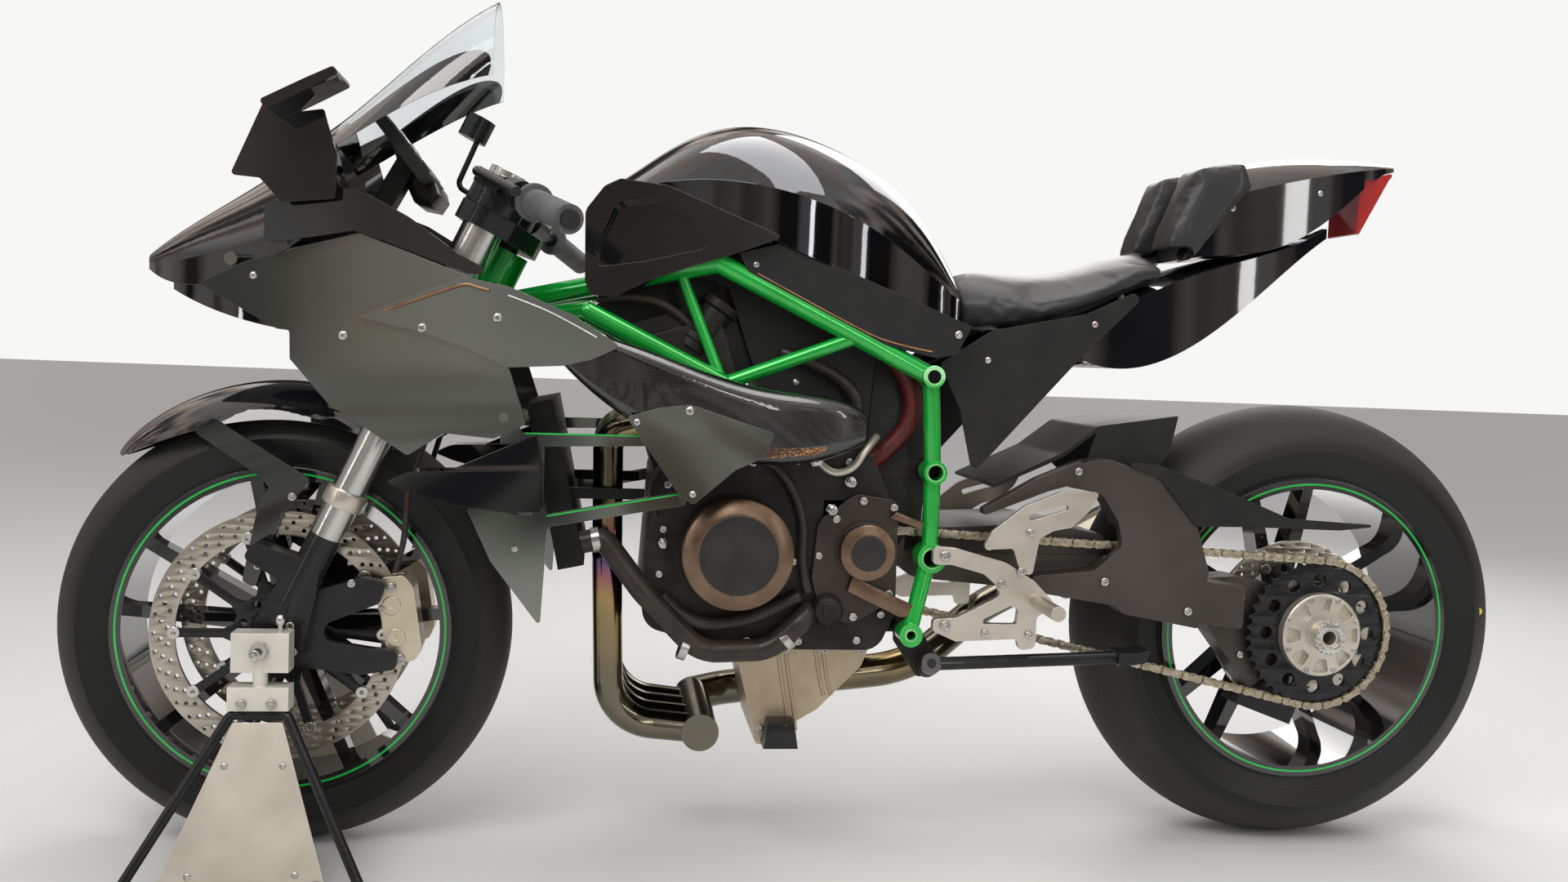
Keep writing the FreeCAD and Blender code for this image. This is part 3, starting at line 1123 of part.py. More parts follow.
def stand_axis_point(along):
    # a point on the side stand's hinge line, that far inboard of the leg's middle
    hinge = FreeCAD.Vector(0.016, 0.937, -0.349).normalize()
    return tuple(FreeCAD.Vector(mid(132), -150, 284) + hinge * along)


def swingarm():
    outer = size["arm_outer"]
    pivot = size["pivot_height"]
    shell = slab("ArmShell",
                 [(mid(308), 532, 6), (mid(341), 566, 20), (mid(376), 570, 20), (mid(449), 547, 30),
                  (mid(506), 485, 20), (mid(529), 416, 10), (mid(519), 335, 6), (mid(406), 355, 8),
                  (mid(396), 366, 8), (mid(275), 384, 8), (mid(272), 406, 6), (mid(361), 414, 20),
                  (mid(401), 449, 16), (mid(393), 483, 16), (mid(367), 522, 20)], outer,
                 "arm_outer - 102")
    arch = slab("ArmArch",
                [(mid(199), 488, 3), (mid(199), 498, 3), (mid(273), 541, 60), (mid(336), 568, 6),
                 (mid(346), 540, 6), (mid(290), 524, 40)], outer, "20")
    beam = slab("ArmBeam",
                [(pivot_x, pivot + 34, 20), (mid(300), pivot + 44, 20), (mid(390), pivot + 30, 10),
                 (mid(390), 372, 10), (mid(300), 380, 20), (pivot_x, pivot - 36, 20)], 103, "193")
    pivot_tube = cylinder("ArmPivot", "36", "200", (pivot_x, -100, pivot), ALONG_Y)
    reach = size["frame_half_width"] - 10 - 18 - gap
    spacer = cylinder("ArmSpacer", "14", str(2 * reach), (pivot_x, -reach, pivot), ALONG_Y)
    tongue = slab("ArmTongue",
                  [(mid(545), 348, 4), (mid(545), 400, 4), (mid(590), 404, 10), (mid(650), 392, 10),
                   (mid(650), 262, 10), (mid(622), 240, 6), (mid(560), 318, 10)], 99, "46")
    tongue_hole = cylinder("ArmTongueHole", "9", "30", (mid(574), -100, 348), ALONG_Y)
    step = slab("ArmStep",
                [(mid(500), 345, 4), (mid(500), 405, 4), (mid(584), 396, 4), (mid(584), 336, 4)], outer,
                "arm_outer - 90")
    hub = cylinder("ArmHub", "hub_radius", "46", (rear_x, -99, rear_z), ALONG_Y)
    bore = cylinder("ArmBore", "hub_bore", "200", (rear_x, -160, rear_z), ALONG_Y)
    run = box("ChainWay", "500", "arm_inner - 98", "48", (mid(100), -size["arm_inner"], 430))
    solid = fused("ArmRaw", [shell, arch, beam, pivot_tube, spacer, tongue, step, hub])
    node("swingarm", cut("Swingarm", solid, group("ArmCuts", [bore, run, tongue_hole])))


def chain():
    front_place = FreeCAD.Vector(mid(size["sprocket_reach"]), size["sprocket_height"], 0)
    rear_place = FreeCAD.Vector(rear_x, rear_z, 0)
    small = size["sprocket_pitch_radius"]
    large = size["wheel_pitch_radius"]
    way = rear_place - front_place
    tilt = math.atan2(way.y, way.x)
    lean = math.asin((large - small) / way.Length)

    def belt(offset):
        # outer or inner line of the loop, that far from the pins
        up = tilt + math.pi / 2 + lean
        down = tilt - math.pi / 2 - lean
        around = []
        for place, radius in ((front_place, small + offset), (rear_place, large + offset)):
            around.append([place + FreeCAD.Vector(math.cos(a), math.sin(a), 0) * radius
                           for a in (up, down)])
        front_far = front_place - FreeCAD.Vector(math.cos(tilt), math.sin(tilt), 0) * (small + offset)
        rear_far = rear_place + FreeCAD.Vector(math.cos(tilt), math.sin(tilt), 0) * (large + offset)
        return [Part.LineSegment(around[0][0], around[1][0]),
                Part.Arc(around[1][0], rear_far, around[1][1]),
                Part.LineSegment(around[1][1], around[0][1]),
                Part.Arc(around[0][1], front_far, around[0][0])]

    def ring(name, out, inside, left, right):
        host = body(name)
        pad = host.newObject("PartDesign::Pad", name + "Pad")
        pad.Length = right - left
        pad.Profile = sketch(host, "XZ_Plane", belt(out) + belt(-inside), -right)
        return host

    plane = -size["chain_plane"]
    half = size["chain_half_width"]
    high = size["chain_height"] / 2
    roll = size["roller_radius"]
    inner = size["sprocket_thickness"] / 2 + 1.5
    outer_band = ring("ChainOuter", high, high, plane - half, plane - inner)
    inner_band = ring("ChainInner", high, high, plane + inner, plane + half)
    rollers = ring("ChainRollers", roll, roll, plane - inner, plane + inner)
    node("chain", fused("Chain", [outer_band, inner_band, rollers]))


def rear_wheel():
    tyre("rear_tyre", size["rear_radius"], size["rear_tyre_width"], rear_x, size["rear_rim_width"])
    disc_plane = size["rear_disc_plane"]
    half = size["disc_thickness"] / 2
    bore = size["spindle_radius"] + gap / 2
    rim("rear_rim", rear_x, rear_z, size["rear_rim_width"], (58, disc_plane - half - gap, 60), 30, 44,
        bore)
    disc = turning("RearDisc",
                   [(50, -disc_plane - half, 0), (size["rear_disc_radius"], -disc_plane - half, 0),
                    (size["rear_disc_radius"], -disc_plane + half, 0), (50, -disc_plane + half, 0)])
    node("rear_disc", disc, turned((rear_x, 0, rear_z), UPRIGHT))
    plane = size["chain_plane"]
    thick = size["sprocket_thickness"] / 2
    tip = size["wheel_pitch_radius"] - size["roller_radius"] - 0.8
    ring = turning("SprocketRing",
                   [(bore, -plane - thick, 0), (tip, -plane - thick, 0), (tip, -plane + thick, 0),
                    (bore, -plane + thick, 0)])
    node("rear_sprocket", ring, turned((rear_x, 0, rear_z), UPRIGHT))
    # spindle with the windowed cover that clamps the sprocket
    cover_in = plane + thick + gap
    profile = [(size["spindle_bore"], -149, 0), (22, -149, 2), (22, -134, 0), (60, -130, 3),
               (60, -cover_in, 0), (size["spindle_radius"], -cover_in, 0),
               (size["spindle_radius"], 66, 0), (size["spindle_bore"], 66, 0)]
    spindle = turning("Spindle", profile)
    windows = []
    for index in range(8):
        window = body("CoverWindow")
        pad = window.newObject("PartDesign::Pad", "CoverWindowPad")
        pad.Length = 12
        pad.Profile = sketch(window, "XZ_Plane",
                             edges_of([(34, -7, 3), (54, -13, 4), (54, 13, 4), (34, 7, 3)]), 124)
        window.Placement = turned((0, 0, 0), FreeCAD.Rotation(FreeCAD.Vector(0, 1, 0), index * 45))
        windows.append(window)
    node("rear_spindle", cut("RearSpindle", spindle, group("CoverWindows", windows)),
         turned((rear_x, 0, rear_z), UPRIGHT))


def guards():
    # chain guard outside the arm, and the hugger over the tyre seated on the arm's inner face
    outer = size["arm_outer"] + gap + size["panel_wall"]
    guard = slab("ChainGuard",
                 [(mid(374), 570, 4), (mid(446), 564, 40), (mid(544), 532, 60), (mid(643), 494, 20),
                  (mid(789), 487, 2), (mid(719), 479, 4), (mid(583), 481, 6), (mid(505), 480, 6),
                  (mid(447), 547, 20)], outer, "panel_wall")
    arm_inside = 102 - gap
    side = slab("HuggerSide",
                [(mid(357), 562, 6), (mid(372), 612, 10), (mid(438), 622, 10), (mid(489), 630, 3),
                 (mid(479), 579, 10), (mid(420), 500, 10), (mid(396), 508, 6)], arm_inside,
                "panel_wall")
    roof = slab("HuggerRoof",
                [(mid(222), 528, 2), (mid(320), 574, 40), (mid(372), 614, 20), (mid(438), 624, 30),
                 (mid(489), 632, 2), (mid(489), 627, 2), (mid(438), 619, 30), (mid(374), 609, 20),
                 (mid(322), 568, 40), (mid(222), 522, 2)], arm_inside, str(arm_inside + 98))
    far_side = slab("HuggerFarSide",
                    [(mid(357), 562, 6), (mid(372), 612, 10), (mid(438), 622, 10), (mid(489), 630, 3),
                     (mid(479), 579, 10), (mid(420), 520, 10), (mid(396), 528, 6)], -94, "panel_wall")
    node("rear_guards", group("RearGuards", [guard, fused("Hugger", [side, roof, far_side])]))


def rear_caliper():
    plane = size["rear_disc_plane"]
    angle = 110
    reach = size["rear_disc_radius"] - 6
    block = box("RearCaliperBlock", "44", "44", "92", (-22, -22, -46))
    slot = box("RearCaliperSlot", "60", "disc_thickness + 5", "120",
               (-48, -size["disc_thickness"] / 2 - 2.5, -60))
    part = cut("RearCaliperCut", block, slot)
    spin = FreeCAD.Rotation(FreeCAD.Vector(0, 1, 0), angle)
    x = rear_x + reach * math.cos(math.radians(-angle))
    z = rear_z + reach * math.sin(math.radians(-angle))
    part.Placement = FreeCAD.Placement(FreeCAD.Vector(x, -plane, z), spin)
    arm = slab("CaliperArm",
               [(x - 18, z - 10, 4), (x - 18, z + 60, 6), (x + 34, z + 60, 6), (x + 30, z - 10, 4)], 62,
               "8")
    hub_room = cylinder("HubRoom", "hub_radius + fit_gap", "60", (rear_x, -100, rear_z), ALONG_Y)
    node("rear_caliper", fused("RearCaliper", [part, cut("CaliperArmFit", arm, hub_room)]))


def footrests():
    inner = size["frame_half_width"] + 8 + gap
    outer = inner + 12
    bracket = slab("RestBracket",
                   [(mid(124), 448, 6), (mid(156), 446, 6), (mid(226), 428, 30), (mid(266), 404, 10),
                    (mid(298), 372, 8), (mid(272), 354, 6), (mid(272), 312, 8), (mid(250), 308, 6),
                    (mid(246), 324, 6), (mid(160), 320, 6), (mid(128), 334, 6), (mid(128), 350, 6),
                    (mid(160), 352, 20), (mid(226), 386, 10), (mid(196), 412, 20), (mid(150), 424, 10),
                    (mid(124), 424, 6)], outer, "12")
    window = slab("RestWindow",
                  [(mid(184), 344, 4), (mid(244), 344, 4), (mid(246), 364, 4), (mid(236), 370, 6)],
                  outer + 5, "30")
    heel = slab("HeelPlate",
                [(mid(188), 440, 6), (mid(203), 470, 10), (mid(247), 506, 20), (mid(297), 526, 6),
                 (mid(352), 527, 4), (mid(339), 502, 10), (mid(314), 478, 8), (mid(289), 473, 10),
                 (mid(270), 462, 6), (mid(262), 412, 6), (mid(246), 414, 6), (mid(234), 448, 6),
                 (mid(204), 446, 6)], outer + 2, "7")
    heel_slot = slab("HeelSlot",
                     [(mid(251), 493, 3), (mid(306), 509, 3), (mid(310), 503, 3), (mid(256), 486, 3)],
                     outer + 8, "30")
    peg = cylinder("Peg", "10", "96", (mid(270), -outer - 90, 376), ALONG_Y)
    left = cut("FootrestLeft", fused("FootrestRaw", [bracket, heel, peg]),
               group("FootrestHoles", [window, heel_slot]))
    node("footrests", pair("Footrests", left))


def brake_hoses():
    # from the lower clamp down behind each fork leg to its caliper, in the steering frame
    route = [(14, -64, size["lower_clamp"] - gap, 0), (15, -70, 700, 60), (26, -88, 640, 80),
             (36, -97, 570, 80), (62, -97, 505, 80), (69, -84, 461, 0)]
    node("brake_hoses", pair("BrakeHoses", tube("BrakeHoseLeft", 4, route)), steering)


def side_stand():
    eye = cut("StandEyeBored", rod("StandEye", "14", stand_axis_point(-9), stand_axis_point(9)),
              rod("StandEyeBore", "6.3", stand_axis_point(-20), stand_axis_point(20)))
    leg = rod("SideLeg", "side_bar", (mid(144), -151, 285), (mid(400), -152, 296))
    foot = slab("SideFoot",
                [(mid(392), 287, 2), (mid(430), 292, 4), (mid(438), 312, 3), (mid(420), 306, 3),
                 (mid(392), 306, 2)], 172, "40")
    node("side_stand", fused("SideStand", [eye, leg, foot]))


front_wheel()
fork()
axle()
triple_clamps()
handlebars()
grips()
controls()
fender()
calipers()
axle_stands()
frame()
engine()
exhaust()
cooling()
bodywork()
tank_and_seat()
swingarm()
chain()
rear_wheel()
guards()
rear_caliper()
footrests()
brake_hoses()
side_stand()
doc.recompute()

broken = [item.Label for item in doc.Objects if "Invalid" in item.State or "Error" in item.State]
broken += [label for label, item in subparts.items() if item.Shape.isNull() or not item.Shape.isValid()]
if broken:
    raise RuntimeError("these objects failed: " + ", ".join(broken))

os.makedirs("parts", exist_ok=True)
for label, item in subparts.items():
    item.Shape.exportStep("parts/%s.step" % label)
    print(label, "solids", len(item.Shape.Solids), "litres", round(item.Shape.Volume / 1e6, 3))
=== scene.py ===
import bpy
import math
from mathutils import Matrix, Vector


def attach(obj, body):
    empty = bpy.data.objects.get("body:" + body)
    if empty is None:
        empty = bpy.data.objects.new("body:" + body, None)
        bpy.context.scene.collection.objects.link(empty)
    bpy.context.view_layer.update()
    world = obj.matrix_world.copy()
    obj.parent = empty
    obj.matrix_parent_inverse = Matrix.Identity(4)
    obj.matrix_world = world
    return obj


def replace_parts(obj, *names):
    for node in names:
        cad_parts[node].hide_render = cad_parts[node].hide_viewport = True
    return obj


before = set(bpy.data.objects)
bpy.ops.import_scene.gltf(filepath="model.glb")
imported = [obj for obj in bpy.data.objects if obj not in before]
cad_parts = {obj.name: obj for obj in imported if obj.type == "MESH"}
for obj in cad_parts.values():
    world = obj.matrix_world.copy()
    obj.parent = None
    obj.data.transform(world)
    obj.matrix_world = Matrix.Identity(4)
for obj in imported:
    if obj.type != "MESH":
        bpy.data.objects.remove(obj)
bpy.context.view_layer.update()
sides = ((-1, "Left"), (1, "Right"))
axles = {"front": (-0.7375, 0.3), "rear": (0.7125, 0.325)}  # x, z
finishes = {}


def clearSelection():
    if bpy.context.object and bpy.context.object.mode != "OBJECT":
        bpy.ops.object.mode_set(mode="OBJECT")
    bpy.ops.object.select_all(action="DESELECT")


def pick(piece):
    clearSelection()
    piece.select_set(True)
    bpy.context.view_layer.objects.active = piece


def applyPlace(piece):
    pick(piece)
    bpy.ops.object.transform_apply(location=True, rotation=True, scale=True)


def settle(piece, name, body, finish, smooth=35):
    # applies the piece's place to its mesh, gives it its finish and lets it ride on a body
    applyPlace(piece)
    piece.name = name
    bpy.ops.object.shade_smooth_by_angle(angle=math.radians(smooth))
    piece.data.materials.clear()
    piece.data.materials.append(finishes[finish])
    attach(piece, body)
    return piece


# camera
cameraSetup = {"place": (-0.32183, -1.88265, 0.69181), "yaw": 0.13811, "pitch": 0.06242, "roll": 0.03907,
               "lens": 30.343, "sensor": 36}


def setCamera(setup):
    yaw, pitch, roll = setup["yaw"], setup["pitch"], setup["roll"]
    forward = Vector((math.sin(yaw), math.cos(yaw), 0))
    right = Vector((math.cos(yaw), -math.sin(yaw), 0))
    up = Vector((0, 0, 1))
    level, rise = math.cos(pitch), math.sin(pitch)
    forward, up = forward * level - up * rise, up * level + forward * rise
    right, up = right * math.cos(roll) + up * math.sin(roll), up * math.cos(roll) - right * math.sin(roll)
    turn = Matrix((right, up, -forward)).transposed().to_4x4()
    bpy.ops.object.camera_add()
    camera = bpy.context.object
    camera.name = "viewCamera"
    camera.matrix_world = Matrix.Translation(setup["place"]) @ turn
    camera.data.lens = setup["lens"]
    camera.data.sensor_width = setup["sensor"]
    camera.data.dof.use_dof = False
    bpy.context.scene.camera = camera


setCamera(cameraSetup)
bpy.context.scene.view_settings.view_transform = "Standard"
print("camera set")


# shader nodes
def setInputs(node, inputs):
    # an input takes a plain value, or the socket that it is linked from
    for key, value in inputs.items():
        if isinstance(value, bpy.types.NodeSocket):
            node.id_data.links.new(value, node.inputs[key])
        else:
            node.inputs[key].default_value = value


def addNode(tree, kind, inputs, output=0, **settings):
    node = tree.nodes.new("ShaderNode" + kind)
    for key, value in settings.items():
        setattr(node, key, value)
    setInputs(node, inputs)
    return node.outputs[output]


def addRamp(tree, stops, amount):
    color = addNode(tree, "ValToRGB", {"Fac": amount})
    points = color.node.color_ramp.elements
    while len(points) < len(stops):
        points.new(0.5)
    for point, (position, tone) in zip(points, stops):
        point.position = position
        point.color = (*tone, 1)
    return color


def objectPlace(tree):
    return addNode(tree, "TexCoord", {}, "Object")


# room: a pale floor, and a world that gloss sees as pillars under a pale ceiling
room = {"size": 60, "skyTone": (0.93, 0.93, 0.92), "fill": 0.56, "fillTone": (0.93, 0.94, 0.96),
        "floorLow": (0.66, 0.65, 0.63), "floorHigh": (0.72, 0.71, 0.69), "floorRough": 0.55,
        "floorPatch": 1.2}
floorBands = {"scale": (1.5, 0.06, 1), "near": 2.6, "far": 4.0,
              "tones": [(0.4, (0.02, 0.02, 0.02)), (0.46, (0.42, 0.43, 0.38)), (0.55, (0.62, 0.63, 0.57)),
                        (0.6, (0.1, 0.06, 0.03))]}
wallTones = [  # position around the room's height, grey: floor side, horizon, wall, ceiling
    (0.0, 0.34), (0.45, 0.24), (0.51, 0.15), (0.64, 0.12), (0.78, 0.4), (0.9, 1.0),
]
# the pillars' strength against the gaps between them, their colours, and where they fade towards the ceiling
pillars = {
    "scale": (5.0, 5.0, 0.3), "from": 0.42, "to": 0.56, "low": 0.12, "high": 3.4, "tint": 0.5,
    "warmth": [(0.3, (0.85, 0.95, 1.0)), (0.5, (1.0, 0.62, 0.38)), (0.62, (1.0, 0.97, 0.92))],
    "fadeFrom": 0.72, "fadeTo": 0.9, "fadeTone": (0.9, 0.9, 0.9),
}
lamps = [  # name, place, aim, width, depth, watts
    ("keySoftbox", (-1.3, -2.2, 3.1), (0.0, 0.0, 0.5), 2.4, 1.4, 62),
    ("topSoftbox", (0.3, 0.1, 3.3), (0.1, 0.0, 0.5), 3.0, 1.2, 44),
    ("rearSoftbox", (1.6, 2.4, 2.4), (0.2, 0.0, 0.6), 2.0, 2.0, 40),
    ("leftStrip", (-3.2, -2.1, 1.5), (-0.4, 0.0, 0.7), 0.16, 1.8, 8),
    ("middleStrip", (0.9, -3.2, 1.5), (0.1, 0.0, 0.6), 0.14, 1.8, 8),
    ("rightStrip", (2.6, -2.2, 1.4), (0.5, 0.0, 0.6), 0.2, 1.9, 9),
]


def makeFloor():
    clearSelection()
    bpy.ops.mesh.primitive_plane_add(size=room["size"], location=(0, 0, 0))
    floor = bpy.context.object
    floor.name = "paleFloor"
    paint = bpy.data.materials.new("paleFloorPaint")
    paint.use_nodes = True
    tree = paint.node_tree
    shader = tree.nodes["Principled BSDF"]
    cloud = addNode(tree, "TexNoise", {"Scale": room["floorPatch"]})
    tone = addRamp(tree, [(0.0, room["floorLow"]), (1.0, room["floorHigh"])], cloud)
    setInputs(shader, {"Roughness": room["floorRough"], "Base Color": tone})
    # gloss sees long dark bands on the floor far from the object
    where = objectPlace(tree)
    stretch = addNode(tree, "Mapping", {"Scale": floorBands["scale"], "Vector": where})
    bands = addNode(tree, "TexNoise", {"Scale": 1.0, "Detail": 1, "Vector": stretch})
    glow = addNode(tree, "Emission", {"Color": addRamp(tree, floorBands["tones"], bands)})
    away = addNode(tree, "VectorMath", {0: where}, "Value", operation="LENGTH")
    far = addNode(tree, "MapRange", {"From Min": floorBands["near"], "From Max": floorBands["far"],
                                     "Value": away})
    rays = addNode(tree, "LightPath", {}).node.outputs
    both = addNode(tree, "Math", {0: rays["Is Glossy Ray"], 1: far}, operation="MULTIPLY")
    mix = addNode(tree, "MixShader", {"Fac": both, 1: shader.outputs[0], 2: glow})
    setInputs(tree.nodes["Material Output"], {"Surface": mix})
    floor.data.materials.append(paint)


def makeWorld():
    world = bpy.data.worlds.new("studioWorld")
    bpy.context.scene.world = world
    world.use_nodes = True
    tree = world.node_tree
    soft = tree.nodes["Background"]  # lights the object evenly
    setInputs(soft, {"Color": (*room["fillTone"], 1), "Strength": room["fill"]})
    # what the camera and the clear screen see
    pale = addNode(tree, "Background", {"Color": (*room["skyTone"], 1)})
    where = addNode(tree, "TexCoord", {}, "Generated")
    upward = addNode(tree, "SeparateXYZ", {0: where}, "Z")
    height = addNode(tree, "MapRange", {"From Min": -1, "Value": upward})
    tones = addRamp(tree, [(position, (grey, grey, grey)) for position, grey in wallTones], height)
    stretch = addNode(tree, "Mapping", {"Scale": pillars["scale"], "Vector": where})
    streaks = addNode(tree, "TexNoise", {"Detail": 1, "Scale": 1.0, "Vector": stretch})
    warmth = addRamp(tree, pillars["warmth"], streaks)
    tinted = addNode(tree, "MixRGB", {"Fac": pillars["tint"], "Color1": tones, "Color2": warmth},
                     blend_type="MULTIPLY")
    steps = addNode(tree, "MapRange", {"From Min": pillars["from"], "From Max": pillars["to"],
                                       "To Min": pillars["low"], "To Max": pillars["high"], "Value": streaks})
    calm = addNode(tree, "MapRange", {"From Min": pillars["fadeFrom"], "From Max": pillars["fadeTo"],
                                      "Value": height})
    faded = addNode(tree, "MixRGB", {"Fac": calm, "Color1": steps, "Color2": (*pillars["fadeTone"], 1)})
    walls = addNode(tree, "Background", {"Color": tinted, "Strength": faded})  # what gloss shows
    rays = addNode(tree, "LightPath", {}).node.outputs
    either = addNode(tree, "Math", {0: rays["Is Camera Ray"], 1: rays["Is Transmission Ray"]},
                     operation="MAXIMUM")
    shine = addNode(tree, "MixShader", {"Fac": rays["Is Glossy Ray"], 1: soft.outputs[0], 2: walls})
    mix = addNode(tree, "MixShader", {"Fac": either, 1: shine, 2: pale})
    setInputs(tree.nodes["World Output"], {"Surface": mix})


def addLamp(name, place, aim, width, depth, watts):
    bpy.ops.object.light_add(type="AREA", location=place)
    lamp = bpy.context.object
    lamp.name = name
    lamp.rotation_euler = (Vector(aim) - Vector(place)).to_track_quat("-Z", "Y").to_euler()
    lamp.data.shape = "RECTANGLE"
    lamp.data.size = width
    lamp.data.size_y = depth
    lamp.data.energy = watts


makeFloor()
makeWorld()
for lampRow in lamps:
    addLamp(*lampRow)
print("room and lamps set")

